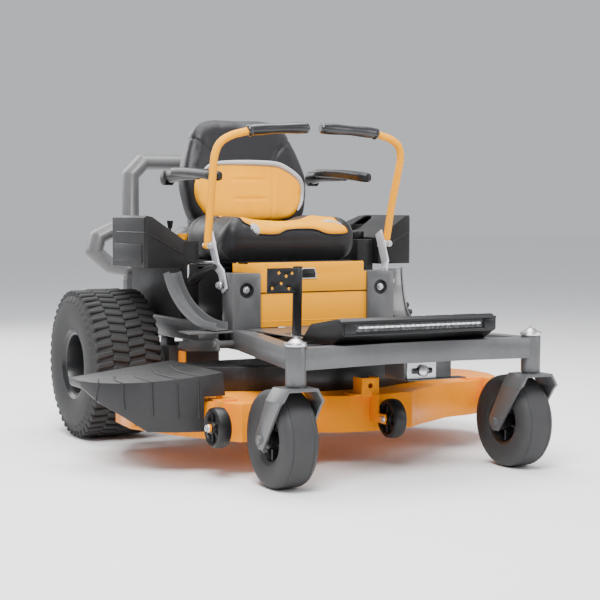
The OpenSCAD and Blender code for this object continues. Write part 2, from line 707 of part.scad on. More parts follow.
module deck_brackets() color(orange) place() {
    // Front hanger
    difference() {
        block([deck_cx - 58, deck_front - 14, deck_top - 4], [deck_cx + 2, deck_front + 40, deck_top + 54]);
        block([deck_cx - 54, deck_front - 10, deck_top - 5], [deck_cx - 2, deck_front + 41, deck_top + 60]);
        block([deck_cx - 59, deck_front - 0.1, deck_top - 5], [deck_cx + 3, deck_front + 41, deck_top]);
        translate([deck_cx - 28, 0, deck_top + 30]) along_y(8, deck_front - 20, deck_front);
    }
    // Rear hangers
    for (x = [-366, 360]) block([x, deck_rear - 60, deck_top], [x + 6, deck_rear - 10, deck_top + 100]);
    // Guide wheel arms and axles, welded to the outside of the shell
    difference() {
        guide_arms();
        translate([0, 0, deck_lip - 60]) linear_extrude(deck_h + 60) polygon(deck_outline);
    }
    // Chute hinge lugs and rod
    for (y = [chute_front + 8, chute_front + chute_len + 8]) {
        block([hinge_x - 9, y, deck_top], [hinge_x + 9, y + 8, hinge_z]);
        translate([hinge_x, 0, hinge_z]) along_y(9, y, y + 8);
    }
    translate([hinge_x, 0, hinge_z]) along_y(hinge_d / 2, chute_front + 8, chute_front + chute_len + 16);
}

deck_pulley_r = 42;
cover_side = deck_pulley_r + 6.5;
cover_outline = [
    [spindles[0][0] - cover_side, side_spindle_y - 70], [deck_cx - 92, mid_spindle_y - 84],
    [deck_cx + 92, mid_spindle_y - 84],
    [spindles[2][0] + cover_side, side_spindle_y - 70], [spindles[2][0] + cover_side, side_spindle_y + 70],
    [spindles[2][0] + 20, side_spindle_y + 86], [spindles[0][0] - 20, side_spindle_y + 86],
    [spindles[0][0] - cover_side, side_spindle_y + 70]];
module belt_cover() color(black) place() translate([0, 0, deck_top + 0.2]) {
    difference() {
        linear_extrude(cover_top - deck_top) polygon(cover_outline);
        translate([0, 0, -1]) linear_extrude(cover_top - deck_top - 3 + 1) polygon(inset(cover_outline, 4));
        block([-130, side_spindle_y + 60, -1], [190, side_spindle_y + 100, 40]);
    }
}

deck_pulley_z = deck_top + 14;
module deck_belt() color(rubber) place()
    translate([0, 0, deck_pulley_z + 4.5]) belt_loop(spindles, deck_pulley_r - 1, 11);

module blade(i) translate([spindles[i][0], spindles[i][1], 0]) {
    translate([0, 0, deck_lip + 24]) cylinder(d = spindle_d, h = deck_pulley_z + 26 - deck_lip - 24);
    translate([0, 0, deck_pulley_z]) pulley(deck_pulley_r, 20);
    // Flat bar whose leading edges are ground to a bevel
    rotate([0, 0, 90]) {
        block([-30, -30, deck_lip + 18], [30, 30, deck_lip + 24]);
        for (a = [0, 180]) rotate([0, 0, a]) push_x(29.9, blade_len / 2)
            translate([0, deck_lip + 18]) polygon([[-30, 0], [30, 0], [30, 6], [-20, 6], [-30, 2]]);
    }
    translate([0, 0, deck_lip + 24]) cylinder(r = 30, h = 18);
    translate([0, 0, deck_lip + 8]) cylinder(r = 15, h = 10, $fn = 6);
}
module blade_right() color(zinc) place() blade(0);
module blade_middle() color(zinc) place() blade(1);
module blade_left() color(zinc) place() blade(2);

module guide_wheel(i) translate([guides[i][0], guides[i][1], guide_z]) {
    w = guide_wheel_w;
    wheel_turn() polygon([[7 + running, -w / 2], [20, -w / 2], [22, -6], [guide_r - 16, -6],
                          [guide_r - 14, -w / 2 + 3],
                          [guide_r - 7, -w / 2], [guide_r, -w / 4], [guide_r, w / 4], [guide_r - 7, w / 2],
                          [guide_r - 14, w / 2 - 3], [guide_r - 16, 6], [22, 6], [20, w / 2],
                          [7 + running, w / 2]]);
}
module guide_wheel_right() color(black) place() guide_wheel(0);
module guide_wheel_middle() color(black) place() guide_wheel(1);
module guide_wheel_left() color(black) place() guide_wheel(2);

// Drawn about its hinge line: outwards is negative X, and Z zero is the hinge
chute_plan = [[8, chute_front], [-70, chute_front], [-150, chute_front + 22], [-220, chute_front + 66],
              [-chute_reach + 60, chute_front + 128], [-chute_reach + 22, chute_front + 200],
              [-chute_reach, chute_front + 290], [-chute_reach, chute_front + chute_len],
              [8, chute_front + chute_len]];
chute_drop = hinge_z - deck_lip - 24;
// The skirt's lower edge rises towards the outer end
skirt_line = [[20, -chute_drop], [-chute_reach + 130, -chute_drop], [-chute_reach + 30, -chute_drop + 76],
              [-chute_reach - 5, -30], [-chute_reach - 5, 60], [20, 60]];
module chute_moulding(w) {
    intersection() {
        rotate([0, -chute_slope, 0]) translate([0, 0, -chute_drop - 60])
            linear_extrude(chute_drop + 72 - w) polygon(w == 0 ? chute_plan : concat(
                [for (i = [0:6]) inset(chute_plan, -w)[i]],
                [[-chute_reach + w, chute_front + chute_len + w], [30, chute_front + chute_len + w],
                 [30, chute_front + w]]));
        push_y(chute_front - 1, chute_front + chute_len + 2 * w)
            polygon(w == 0 ? skirt_line :
                    [for (p = skirt_line) [p[0] * 2, p[1] < -30 ? p[1] - 300 : p[1] * 2]]);
    }
}
module discharge_chute() color(black) place() translate([hinge_x, 0, hinge_z]) {
    difference() {
        union() {
            difference() {
                chute_moulding(0);
                chute_moulding(chute_t);
            }
            along_y(9, chute_front + 24, chute_front + chute_len - 4);
            block([-8, chute_front + 24, 0], [8, chute_front + chute_len - 4, 9.5]);
        }
        along_y(hinge_d / 2 + running, chute_front + 7, chute_front + chute_len + 20);
        block([-54, chute_front - 10, -chute_drop - 90], [40, chute_front + 26, deck_top + 15 - hinge_z]);
        block([-12, chute_front + 6, -20], [12, chute_front + 18, 9.5]);
        block([-12, chute_front + chute_len - 3, -20], [20, chute_front + chute_len + 20, 40]);
    }
}

// ---- Deck lift ----
module lift_shaft() color(graphite) place() {
    translate([0, lift_y, lift_z]) along_x(lift_d / 2, -rail_out - 66, rail_out + 66);
    for (x = [-rail_out - 62, rail_out + 54]) translate([x, lift_y, lift_z]) rotate([-5, 0, 0]) {
        block([0, -24, -20], [8, lift_arm, 14]);
        along_x(20, 0, 8);
        translate([0, lift_arm - 16, -4]) along_x(7, -9, 17);
    }
}

pad_low = 150;
pad_holes = [[-88, 16], [-66, 62], [-58, 30], [-42, 52], [-32, 14], [-22, 60]];
module lift_pedal() color(black) place() translate([pedal_x, pedal_y, frame_top - 14]) {
    along_x(12, -6, 6);
    rotate([2, 0, 0]) {
        block([-14, -5, 0], [14, 3, pad_low + 74]);
        difference() {
            block([-105, -9, pad_low - 6], [2, -4.9, pad_low + 70]);
            for (h = pad_holes) translate([h[0], 0, pad_low - 6 + h[1]]) along_y(5, -20, 0);
        }
    }
}

// ---- Steering levers ----
lean = atan2(bar_foot[1] - lever_y, bar_foot[2] - lever_z);
lever_len = norm([bar_foot[1] - lever_y, bar_foot[2] - lever_z]);
bar_r = lap_bar_d / 2;
ear_in = bar_r + 4;
ear_out = ear_in + 5;
module lever_base() {
    translate([0, lever_y, lever_z]) rotate([-lean, 0, 0]) {
        difference() {
            union() {
                push_y(-20, 20) polygon(strip([[-lever_x, -20], [-lever_x, 44], [-lever_x - 12, 66],
                    [-lever_x - 13, lever_len + 42]], 3));
                along_x(20, -lever_x - 3, -lever_x + 3);
            }
            along_x(pin_d / 2 + running, -lever_x - 30, -lever_x + 30);
        }
    }
    // Pivot pin of the lap bar between two ears
    translate([-bar_x, bar_foot[1], bar_foot[2]]) {
        along_y(hinge_d / 2, -ear_out - 2, ear_out + 2);
        for (y = [-ear_out, ear_in]) {
            along_y(9, y, y + ear_out - ear_in);
            block([0, y, -9], [bar_x - lever_x - 10, y + ear_out - ear_in, 9]);
        }
        block([bar_r + 1.4, -ear_out, -12], [bar_x - lever_x - 10, ear_out, 12]);
    }
}
module lever_base_right() color(zinc) place() lever_base();
module lever_base_left() color(zinc) place() other_side() lever_base();

corner_z = grip_z - 76;
bar_route = [bar_foot, bar_foot + [2, -30, 120], [bar_x + 10, -566, corner_z - 20],
             [bar_x - 2, -576, corner_z + 16], [bar_x - 30, -582, corner_z + 40],
             [bar_x - 92, -586, grip_z - 18]];
grip_route = [bar_route[5], [bar_x - 112, -588, grip_z - 10], [grip_gap / 2 + 70, -591, grip_z - 2],
              [grip_gap / 2 + grip_d / 2, -592, grip_z]];
module lap_bar() mirror([1, 0, 0]) difference() {
    union() {
        bent_rod(bar_route, bar_r);
        bent_rod(grip_route, grip_d / 2);
    }
    translate([bar_x, 0, bar_foot[2]]) along_y(hinge_d / 2 + running, bar_foot[1] - 40, bar_foot[1] + 40);
}
module lap_bar_right() color(yellow) place() lap_bar();
module lap_bar_left() color(yellow) place() other_side() lap_bar();

// ---- Seat ----
half_seat = seat_w / 2;
seat_back = seat_y + cushion_depth;
module seat_plate() color(black) place() {
    block([-208, seat_y - 60, seat_floor - 26], [208, seat_back + 20, seat_floor - 21]);
    for (x = [-170, 150]) block([x, seat_y, seat_floor - 21], [x + 20, seat_back, seat_floor - 11]);
    translate([0, seat_y - 54, seat_floor - 14]) along_x(7, -206, 206);
}
module seat_pan() color(black) place() {
    for (x = [-173, 147]) difference() {
        block([x, seat_y + 40, seat_floor - 14], [x + 26, seat_back - 20, seat_floor - 4]);
        block([x + 2.5, seat_y + 39, seat_floor - 22], [x + 23.5, seat_back, seat_floor - 10.5]);
    }
    block([-half_seat + 40, seat_y + 20, seat_floor - 4], [half_seat - 40, seat_back + 30, seat_floor - 0.3]);
    block([-150, seat_back + 20, seat_floor - 4], [150, seat_back + 34, seat_floor + 60]);
}
cushion_r = 60;
module seat_cushion() color(black) place() {
    hull() for (x = [-1, 1], y = [seat_y + cushion_r, seat_back - cushion_r])
        translate([x * (half_seat - cushion_r), y, seat_floor]) {
            cylinder(r = cushion_r - 8, h = cushion_h - 4, $fn = 32);
            translate([0, 0, 30]) cylinder(r = cushion_r, h = cushion_h - 60, $fn = 32);
        }
}
back_r = 90;
back_low = seat_floor + cushion_h + 8;
module seat_backrest() color(black) place() {
    translate([0, seat_back + 6, back_low]) rotate([-seat_lean, 0, 0]) {
        tall = (seat_top - back_low - 50 * sin(seat_lean)) / cos(seat_lean);
        push_y(-50, 50) {
            hull() {
                for (x = [-1, 1]) {
                    translate([x * (half_seat - back_r - 44), tall - back_r]) circle(r = back_r);
                    translate([x * (half_seat - 60), tall * 0.36]) circle(r = 60);
                    translate([x * (half_seat - 90), 40]) circle(r = 40);
                }
            }
        }
    }
    block([-120, seat_back + 34.5, seat_floor + 10], [120, seat_back + 44, back_low + 60]);
}
arm_z = seat_floor + 280;
arm_y = seat_back + 30;
arm_long = cushion_depth - 28;
module armrests() color(black) place() both_sides() {
    translate([-half_seat - 18, 0, arm_z]) linear_extrude(34) hull() {
        translate([0, arm_y - arm_long]) circle(r = 22);
        translate([0, arm_y - 104]) circle(r = 28);
    }
    block([-half_seat - 42, arm_y - 96, arm_z - 20], [-half_seat - 2, arm_y + 24, arm_z + 34]);
    translate([0, arm_y, arm_z]) along_x(10, -half_seat - 40, -half_seat - 0.5);
}

main_rails();
front_beam();
caster_tubes();
rear_frame();
seat_towers();
fender_braces();
seat_box();
floor_pan();
foot_rest();
light_bar();
lower_panel();
upper_panel();
fender_right();
fender_left();
battery_cover();
fuel_tank();
fuel_cap();
battery();
engine_block();
engine_shroud();
muffler();
rear_guard();
transaxles();
drive_belt();
crank_pulley();
input_pulley_right();
input_pulley_left();
frame_bolts();
rear_tyre_right();
rear_rim_right();
rear_tyre_left();
rear_rim_left();
caster_fork_right();
caster_fork_left();
caster_wheel_right();
caster_wheel_left();
deck_shell();
deck_brackets();
belt_cover();
deck_belt();
blade_right();
blade_middle();
blade_left();
guide_wheel_right();
guide_wheel_middle();
guide_wheel_left();
discharge_chute();
lift_shaft();
lift_pedal();
lever_base_right();
lever_base_left();
lap_bar_right();
lap_bar_left();
seat_plate();
seat_pan();
seat_cushion();
seat_backrest();
armrests();
blade_switch();
throttle_lever();
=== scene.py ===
import json
import math
import random
import bpy
import bmesh
from mathutils import Matrix, Vector, noise
from mathutils.bvhtree import BVHTree


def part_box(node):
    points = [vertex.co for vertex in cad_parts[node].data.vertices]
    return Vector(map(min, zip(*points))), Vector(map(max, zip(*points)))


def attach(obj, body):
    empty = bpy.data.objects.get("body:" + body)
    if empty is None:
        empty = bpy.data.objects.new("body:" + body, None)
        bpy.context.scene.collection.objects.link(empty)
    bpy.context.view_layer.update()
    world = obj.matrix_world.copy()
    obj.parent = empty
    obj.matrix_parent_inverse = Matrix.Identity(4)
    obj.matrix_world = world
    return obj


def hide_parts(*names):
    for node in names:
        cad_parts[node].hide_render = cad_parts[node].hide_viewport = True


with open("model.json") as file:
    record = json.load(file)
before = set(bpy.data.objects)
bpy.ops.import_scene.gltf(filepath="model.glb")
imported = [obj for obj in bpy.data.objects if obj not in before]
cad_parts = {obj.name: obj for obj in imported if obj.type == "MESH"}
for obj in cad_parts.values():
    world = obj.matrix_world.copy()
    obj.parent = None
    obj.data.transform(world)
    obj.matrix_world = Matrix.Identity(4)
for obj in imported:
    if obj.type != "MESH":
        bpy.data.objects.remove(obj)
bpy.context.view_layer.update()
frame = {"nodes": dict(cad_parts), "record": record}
random.seed(7)
nodes = frame["nodes"]
bodyOf = {n: b for b, group in frame["record"]["behaviour"]["bodies"].items() for n in group}

# the drive wheels give the machine's middle plane and its rear axle
wheelLow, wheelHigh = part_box("rear_tyre_right")[0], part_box("rear_tyre_left")[1]
origin = Vector(((wheelLow.x + wheelHigh.x) / 2, (wheelLow.y + wheelHigh.y) / 2, 0))


def at(x, y, z):  # millimetres from the middle of the rear axle line, on the ground
    return origin + Vector((x, y, z)) / 1000


def boxOf(name):
    low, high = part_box(name)
    return low, high, (low + high) / 2


# camera and light
view = {"turn": -27.33, "down": 3.55, "lens": 88.75, "place": (-2238.3, -4822.6, 783.9)}


def addCamera():
    cam = bpy.data.cameras.new("camera")
    cam.lens = view["lens"]
    cam.sensor_width = 36
    cam.clip_end = 60
    holder = bpy.data.objects.new("camera", cam)
    holder.location = at(*view["place"])
    holder.rotation_euler = (math.radians(90 - view["down"]), 0, math.radians(view["turn"]))
    bpy.context.scene.collection.objects.link(holder)
    bpy.context.scene.camera = holder


lamps = {"key": {"place": (-1.9, -2.7, 4.3), "size": 2.2, "power": 370},
         "fill": {"place": (3.4, -3.0, 2.2), "size": 2.6, "power": 75},
         "top": {"place": (0.2, 0.5, 4.2), "size": 3.0, "power": 230},
         "back": {"place": (-1.0, 4.0, 2.6), "size": 3.0, "power": 130}}
studio = {"world": (0.93, 0.95, 1.0), "strength": 0.62, "floor": (0.96, 0.96, 0.96)}


def addLights():
    for name, values in lamps.items():
        light = bpy.data.lights.new(name, "AREA")
        light.size = values["size"]
        light.energy = values["power"]
        holder = bpy.data.objects.new(name, light)
        holder.location = values["place"]
        aim = Vector((0, 0, 0.5)) - holder.location
        holder.rotation_euler = aim.to_track_quat("-Z", "Y").to_euler()
        bpy.context.scene.collection.objects.link(holder)
    world = bpy.data.worlds.new("studio")
    world.use_nodes = True
    sky = world.node_tree.nodes["Background"]
    sky.inputs["Color"].default_value = (*studio["world"], 1)
    sky.inputs["Strength"].default_value = studio["strength"]
    bpy.context.scene.world = world


# shared shader effects
def addGroup(name, inputs, outputs):
    group = bpy.data.node_groups.new(name, "ShaderNodeTree")
    for label, kind, value in inputs:
        socket = group.interface.new_socket(label, in_out="INPUT", socket_type=kind)
        if value is not None:
            socket.default_value = value
    for label, kind in outputs:
        group.interface.new_socket(label, in_out="OUTPUT", socket_type=kind)
    return group, group.nodes.new("NodeGroupInput"), group.nodes.new("NodeGroupOutput")


def addMath(tree, operation, a, b=None, clamp=False):
    node = tree.nodes.new("ShaderNodeMath")
    node.operation = operation
    node.use_clamp = clamp
    for slot, value in enumerate((a, b)):
        if value is None:
            continue
        if isinstance(value, (int, float)):
            node.inputs[slot].default_value = value
        else:
            tree.links.new(value, node.inputs[slot])
    return node.outputs[0]


def addRange(tree, value, fromLow, fromHigh, toLow, toHigh):
    node = tree.nodes.new("ShaderNodeMapRange")
    tree.links.new(value, node.inputs["Value"])
    for label, number in (("From Min", fromLow), ("From Max", fromHigh), ("To Min", toLow),
                          ("To Max", toHigh)):
        if isinstance(number, (int, float)):
            node.inputs[label].default_value = number
        else:
            tree.links.new(number, node.inputs[label])
    return node.outputs["Result"]


def buildPatches():  # soft blotches of colour and gloss
    group, inside, outside = addGroup(
        "patches", [("Vector", "NodeSocketVector", None), ("Scale", "NodeSocketFloat", 4.0)],
        [("Mask", "NodeSocketFloat")])
    big = group.nodes.new("ShaderNodeTexNoise")
    big.inputs["Detail"].default_value = 4
    big.inputs["Roughness"].default_value = 0.6
    group.links.new(inside.outputs["Vector"], big.inputs["Vector"])
    group.links.new(inside.outputs["Scale"], big.inputs["Scale"])
    group.links.new(addRange(group, big.outputs["Fac"], 0.32, 0.68, 0, 1), outside.inputs["Mask"])
    return group


def buildGrain():  # height of a pebbled or orange-peel skin
    group, inside, outside = addGroup(
        "grain", [("Vector", "NodeSocketVector", None), ("Scale", "NodeSocketFloat", 400.0)],
        [("Height", "NodeSocketFloat")])
    cells = group.nodes.new("ShaderNodeTexVoronoi")
    cells.feature = "SMOOTH_F1"
    fine = group.nodes.new("ShaderNodeTexNoise")
    fine.inputs["Detail"].default_value = 3
    for node in (cells, fine):
        group.links.new(inside.outputs["Vector"], node.inputs["Vector"])
        group.links.new(inside.outputs["Scale"], node.inputs["Scale"])
    mixed = addMath(group, "ADD", addMath(group, "MULTIPLY", cells.outputs["Distance"], 0.7),
                    addMath(group, "MULTIPLY", fine.outputs["Fac"], 0.5))
    group.links.new(mixed, outside.inputs["Height"])
    return group


def buildWear():  # bright edges where paint rubs thin
    group, inside, outside = addGroup(
        "edgeWear", [("Vector", "NodeSocketVector", None), ("Amount", "NodeSocketFloat", 0.5)],
        [("Mask", "NodeSocketFloat")])
    shape = group.nodes.new("ShaderNodeNewGeometry")
    speckle = group.nodes.new("ShaderNodeTexNoise")
    speckle.inputs["Scale"].default_value = 60
    speckle.inputs["Detail"].default_value = 5
    group.links.new(inside.outputs["Vector"], speckle.inputs["Vector"])
    edge = addRange(group, shape.outputs["Pointiness"], 0.53, 0.60, 0, 1)
    rubbed = addMath(group, "MULTIPLY", edge, addRange(group, speckle.outputs["Fac"], 0.4, 0.65, 0, 1))
    group.links.new(addMath(group, "MULTIPLY", rubbed, inside.outputs["Amount"], True),
                    outside.inputs["Mask"])
    return group


def buildDust():  # a light film on faces that look up
    group, inside, outside = addGroup(
        "dust", [("Vector", "NodeSocketVector", None), ("Amount", "NodeSocketFloat", 0.2)],
        [("Mask", "NodeSocketFloat")])
    shape = group.nodes.new("ShaderNodeNewGeometry")
    split = group.nodes.new("ShaderNodeSeparateXYZ")
    group.links.new(shape.outputs["Normal"], split.inputs[0])
    cloud = group.nodes.new("ShaderNodeTexNoise")
    cloud.inputs["Scale"].default_value = 9
    cloud.inputs["Detail"].default_value = 6
    group.links.new(inside.outputs["Vector"], cloud.inputs["Vector"])
    up = addRange(group, split.outputs["Z"], 0.2, 1.0, 0.15, 1)
    film = addMath(group, "MULTIPLY", up, addRange(group, cloud.outputs["Fac"], 0.35, 0.7, 0, 1))
    group.links.new(addMath(group, "MULTIPLY", film, inside.outputs["Amount"], True),
                    outside.inputs["Mask"])
    return group


effects = {"patches": buildPatches(), "grain": buildGrain(), "edgeWear": buildWear(), "dust": buildDust()}


def useGroup(tree, name, **values):
    node = tree.nodes.new("ShaderNodeGroup")
    node.node_tree = effects[name]
    for label, value in values.items():
        if isinstance(value, (int, float)):
            node.inputs[label].default_value = value
        else:
            tree.links.new(value, node.inputs[label])
    return node.outputs[0]


def blendColours(tree, mask, first, second):
    node = tree.nodes.new("ShaderNodeMix")
    node.data_type = "RGBA"
    tree.links.new(mask, node.inputs["Factor"])
    for label, value in (("A", first), ("B", second)):
        socket = [s for s in node.inputs if s.name == label and s.type == "RGBA"][0]
        if isinstance(value, tuple):
            socket.default_value = (*value, 1)
        else:
            tree.links.new(value, socket)
    return [s for s in node.outputs if s.type == "RGBA"][0]


def shade(colour, by):
    return tuple(min(1.0, c * by) for c in colour)


finishes = {
    "graphitePaint": {"colour": (0.093, 0.094, 0.097), "rough": 0.36, "metallic": 0.15, "grain": 900,
                      "bump": 0.05,
                      "vary": 0.12, "wear": 0.35, "dust": 0.10, "coat": 0.15},
    "guardPaint": {"colour": (0.12, 0.12, 0.122), "rough": 0.42, "metallic": 0.1, "grain": 900,
                   "bump": 0.05,
                   "vary": 0.10, "wear": 0.3, "dust": 0.10, "coat": 0.1},
    "yellowPaint": {"colour": (1.0, 0.39, 0.0), "rough": 0.3, "metallic": 0.0, "grain": 700, "bump": 0.03,
                    "vary": 0.04, "wear": 0.12, "dust": 0.03, "coat": 0.0, "specular": 0.2, "tint": 1},
    "deckPaint": {"colour": (1.0, 0.29, 0.0), "rough": 0.3, "metallic": 0.0, "grain": 600, "bump": 0.04,
                  "vary": 0.10, "wear": 0.25, "dust": 0.04, "coat": 0.0, "specular": 0.25, "tint": 1},
    "blackPaint": {"colour": (0.009, 0.009, 0.01), "rough": 0.34, "metallic": 0.1, "grain": 800,
                   "bump": 0.05,
                   "vary": 0.3, "wear": 0.2, "dust": 0.08, "coat": 0.1},
    "fenderPlastic": {"colour": (0.009, 0.009, 0.0095), "rough": 0.48, "metallic": 0.0, "grain": 900,
                      "bump": 0.14,
                      "vary": 0.25, "wear": 0.1, "dust": 0.06, "coat": 0.0, "specular": 0.3},
    "chutePlastic": {"colour": (0.024, 0.024, 0.025), "rough": 0.52, "metallic": 0.0, "grain": 800,
                     "bump": 0.16,
                     "vary": 0.2, "wear": 0.1, "dust": 0.07, "coat": 0.0, "specular": 0.3},
    "blackPlastic": {"colour": (0.005, 0.005, 0.0055), "rough": 0.38, "metallic": 0.0, "grain": 900,
                     "bump": 0.08,
                     "vary": 0.3, "wear": 0.08, "dust": 0.08, "coat": 0.0, "specular": 0.4},
    "tyreRubber": {"colour": (0.027, 0.027, 0.0275), "rough": 0.72, "metallic": 0.0, "grain": 500,
                   "bump": 0.15,
                   "vary": 0.3, "wear": 0.0, "dust": 0.12, "coat": 0.0},
    "castorRubber": {"colour": (0.028, 0.028, 0.029), "rough": 0.66, "metallic": 0.0, "grain": 400,
                     "bump": 0.12,
                     "vary": 0.3, "wear": 0.0, "dust": 0.12, "coat": 0.0},
    "gripRubber": {"colour": (0.012, 0.012, 0.014), "rough": 0.33, "metallic": 0.0, "grain": 700,
                   "bump": 0.08,
                   "vary": 0.2, "wear": 0.0, "dust": 0.04, "coat": 0.4},
    "beltRubber": {"colour": (0.015, 0.015, 0.015), "rough": 0.7, "metallic": 0.0, "grain": 900,
                   "bump": 0.2,
                   "vary": 0.2, "wear": 0.0, "dust": 0.2, "coat": 0.0},
    "zincPlate": {"colour": (0.62, 0.62, 0.64), "rough": 0.3, "metallic": 0.95, "grain": 700, "bump": 0.05,
                  "vary": 0.12, "wear": 0.0, "dust": 0.06, "coat": 0.0},
    "silverPaint": {"colour": (0.56, 0.56, 0.6), "rough": 0.36, "metallic": 0.35, "grain": 800,
                    "bump": 0.05,
                    "vary": 0.08, "wear": 0.15, "dust": 0.05, "coat": 0.1},
    "chrome": {"colour": (0.8, 0.8, 0.82), "rough": 0.12, "metallic": 1.0, "grain": 300, "bump": 0.01,
               "vary": 0.05, "wear": 0.0, "dust": 0.03, "coat": 0.0},
    "castMetal": {"colour": (0.22, 0.22, 0.23), "rough": 0.55, "metallic": 0.7, "grain": 500, "bump": 0.25,
                  "vary": 0.25, "wear": 0.1, "dust": 0.15, "coat": 0.0},
    "heatedSteel": {"colour": (0.2, 0.17, 0.15), "rough": 0.45, "metallic": 0.85, "grain": 400, "bump": 0.1,
                    "vary": 0.5, "wear": 0.0, "dust": 0.1, "coat": 0.0},
    "bladeSteel": {"colour": (0.12, 0.12, 0.13), "rough": 0.4, "metallic": 0.85, "grain": 400, "bump": 0.1,
                   "vary": 0.3, "wear": 0.6, "dust": 0.1, "coat": 0.0},
    "blackVinyl": {"colour": (0.0055, 0.0055, 0.0075), "rough": 0.46, "metallic": 0.0, "grain": 650,
                   "bump": 0.22,
                   "vary": 0.15, "wear": 0.0, "dust": 0.04, "coat": 0.0, "sheen": 0.15, "specular": 0.35},
    "yellowVinyl": {"colour": (1.0, 0.4, 0.0), "rough": 0.5, "metallic": 0.0, "grain": 650, "bump": 0.18,
                    "vary": 0.08, "wear": 0.0, "dust": 0.02, "coat": 0.0, "sheen": 0.0, "specular": 0.15,
                    "tint": 1},
    # light grey used to paint highlights onto the seat's rolled vinyl edges
    "silverVinyl": {"colour": (0.42, 0.42, 0.44), "rough": 0.42, "metallic": 0.1, "grain": 700,
                    "bump": 0.12,
                    "vary": 0.08, "wear": 0.0, "dust": 0.02, "coat": 0.0},
    "lampWhite": {"colour": (0.85, 0.87, 0.9), "rough": 0.25, "metallic": 0.0, "grain": 300, "bump": 0.02,
                  "vary": 0.05, "wear": 0.0, "dust": 0.0, "coat": 0.4},
}


def makeFinish(name, values):
    material = bpy.data.materials.new(name)
    material.use_nodes = True
    tree = material.node_tree
    surface = tree.nodes["Principled BSDF"]
    place = tree.nodes.new("ShaderNodeTexCoord").outputs["Object"]
    colour = values["colour"]
    patches = useGroup(tree, "patches", Vector=place, Scale=6.0)
    base = blendColours(tree, patches, shade(colour, 1 - values["vary"]), shade(colour, 1 + values["vary"]))
    if values["wear"]:
        wear = useGroup(tree, "edgeWear", Vector=place, Amount=values["wear"])
        lighter = tuple(c * 0.8 + 0.07 for c in colour)
        base = blendColours(tree, wear, base, lighter)
    dust = useGroup(tree, "dust", Vector=place, Amount=values["dust"])
    base = blendColours(tree, dust, base, tuple(c * 0.85 + 0.045 for c in colour))
    tree.links.new(base, surface.inputs["Base Color"])
    rough = values["rough"]
    gloss = addRange(tree, patches, 0, 1, rough * 0.86, min(1, rough * 1.16))
    tree.links.new(addMath(tree, "ADD", gloss, addMath(tree, "MULTIPLY", dust, 0.35), True),
                   surface.inputs["Roughness"])
    surface.inputs["Metallic"].default_value = values["metallic"]
    surface.inputs["Coat Weight"].default_value = values["coat"]
    surface.inputs["Coat Roughness"].default_value = 0.15
    surface.inputs["Specular IOR Level"].default_value = values.get("specular", 0.5)
    if values.get("sheen"):
        surface.inputs["Sheen Weight"].default_value = values["sheen"]
        surface.inputs["Sheen Roughness"].default_value = 0.5
    if values.get("tint"):
        surface.inputs["Specular Tint"].default_value = (1, 0.55, 0.12, 1)
    bump = tree.nodes.new("ShaderNodeBump")
    bump.inputs["Strength"].default_value = values["bump"]
    bump.inputs["Distance"].default_value = 0.001
    tree.links.new(useGroup(tree, "grain", Vector=place, Scale=float(values["grain"])),
                   bump.inputs["Height"])
    tree.links.new(bump.outputs["Normal"], surface.inputs["Normal"])
    return material


paint = {name: makeFinish(name, values) for name, values in finishes.items()}


def makeLens():
    material = bpy.data.materials.new("lampLens")
    material.use_nodes = True
    tree = material.node_tree
    surface = tree.nodes["Principled BSDF"]
    place = tree.nodes.new("ShaderNodeTexCoord").outputs["Object"]
    cells = tree.nodes.new("ShaderNodeTexVoronoi")
    cells.inputs["Scale"].default_value = 110
    tree.links.new(place, cells.inputs["Vector"])
    mask = addRange(tree, cells.outputs["Distance"], 0.1, 0.6, 0, 1)
    tree.links.new(blendColours(tree, mask, (0.10, 0.105, 0.11), (0.02, 0.021, 0.022)),
                   surface.inputs["Base Color"])
    surface.inputs["Roughness"].default_value = 0.12
    surface.inputs["Coat Weight"].default_value = 0.8
    return material


def makeFloor():
    material = bpy.data.materials.new("floorPaper")
    material.use_nodes = True
    surface = material.node_tree.nodes["Principled BSDF"]
    surface.inputs["Base Color"].default_value = (*studio["floor"], 1)
    surface.inputs["Roughness"].default_value = 0.9
    return material


paint["lampLens"] = makeLens()
paint["floorPaper"] = makeFloor()
print("finishes ready")


# mesh helpers
def bendLimit(bm, degrees):  # soft shading, sharp past this angle
    limit = math.radians(degrees)
    for face in bm.faces:
        face.smooth = True
    for edge in bm.edges:
        if len(edge.link_faces) == 2:
            edge.smooth = edge.calc_face_angle(0) < limit


def finishPiece(name, bm, finish, body, replaces=(), sharp=38):
    bendLimit(bm, sharp)
    mesh = bpy.data.meshes.new(name)
    bm.to_mesh(mesh)
    bm.free()
    piece = bpy.data.objects.new(name, mesh)
    bpy.context.scene.collection.objects.link(piece)
    for one in ([finish] if isinstance(finish, str) else finish):
        mesh.materials.append(paint[one])
    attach(piece, body)
    if replaces:
        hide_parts(*replaces)
    return piece


def softened(node, finish, bevel=0.0012, segments=2, angle=28, rename=None):
    bm = bmesh.new()
    bm.from_mesh(nodes[node].data)
    bmesh.ops.remove_doubles(bm, verts=bm.verts, dist=0.00002)
    bmesh.ops.dissolve_limit(bm, angle_limit=math.radians(0.8), verts=bm.verts, edges=bm.edges)
    sharpEdges = [e for e in bm.edges if len(e.link_faces) == 2 and e.calc_face_angle(0) > math.radians(angle)]
    if bevel:
        bmesh.ops.bevel(bm, geom=sharpEdges, offset=bevel, offset_type="OFFSET", segments=segments,
                        profile=0.5,
                        affect="EDGES", clamp_overlap=True, material=-1)
    bmesh.ops.triangulate(bm, faces=[f for f in bm.faces if len(f.verts) > 4])
    return finishPiece(rename or node + "Body", bm, finish, bodyOf[node], (node,))


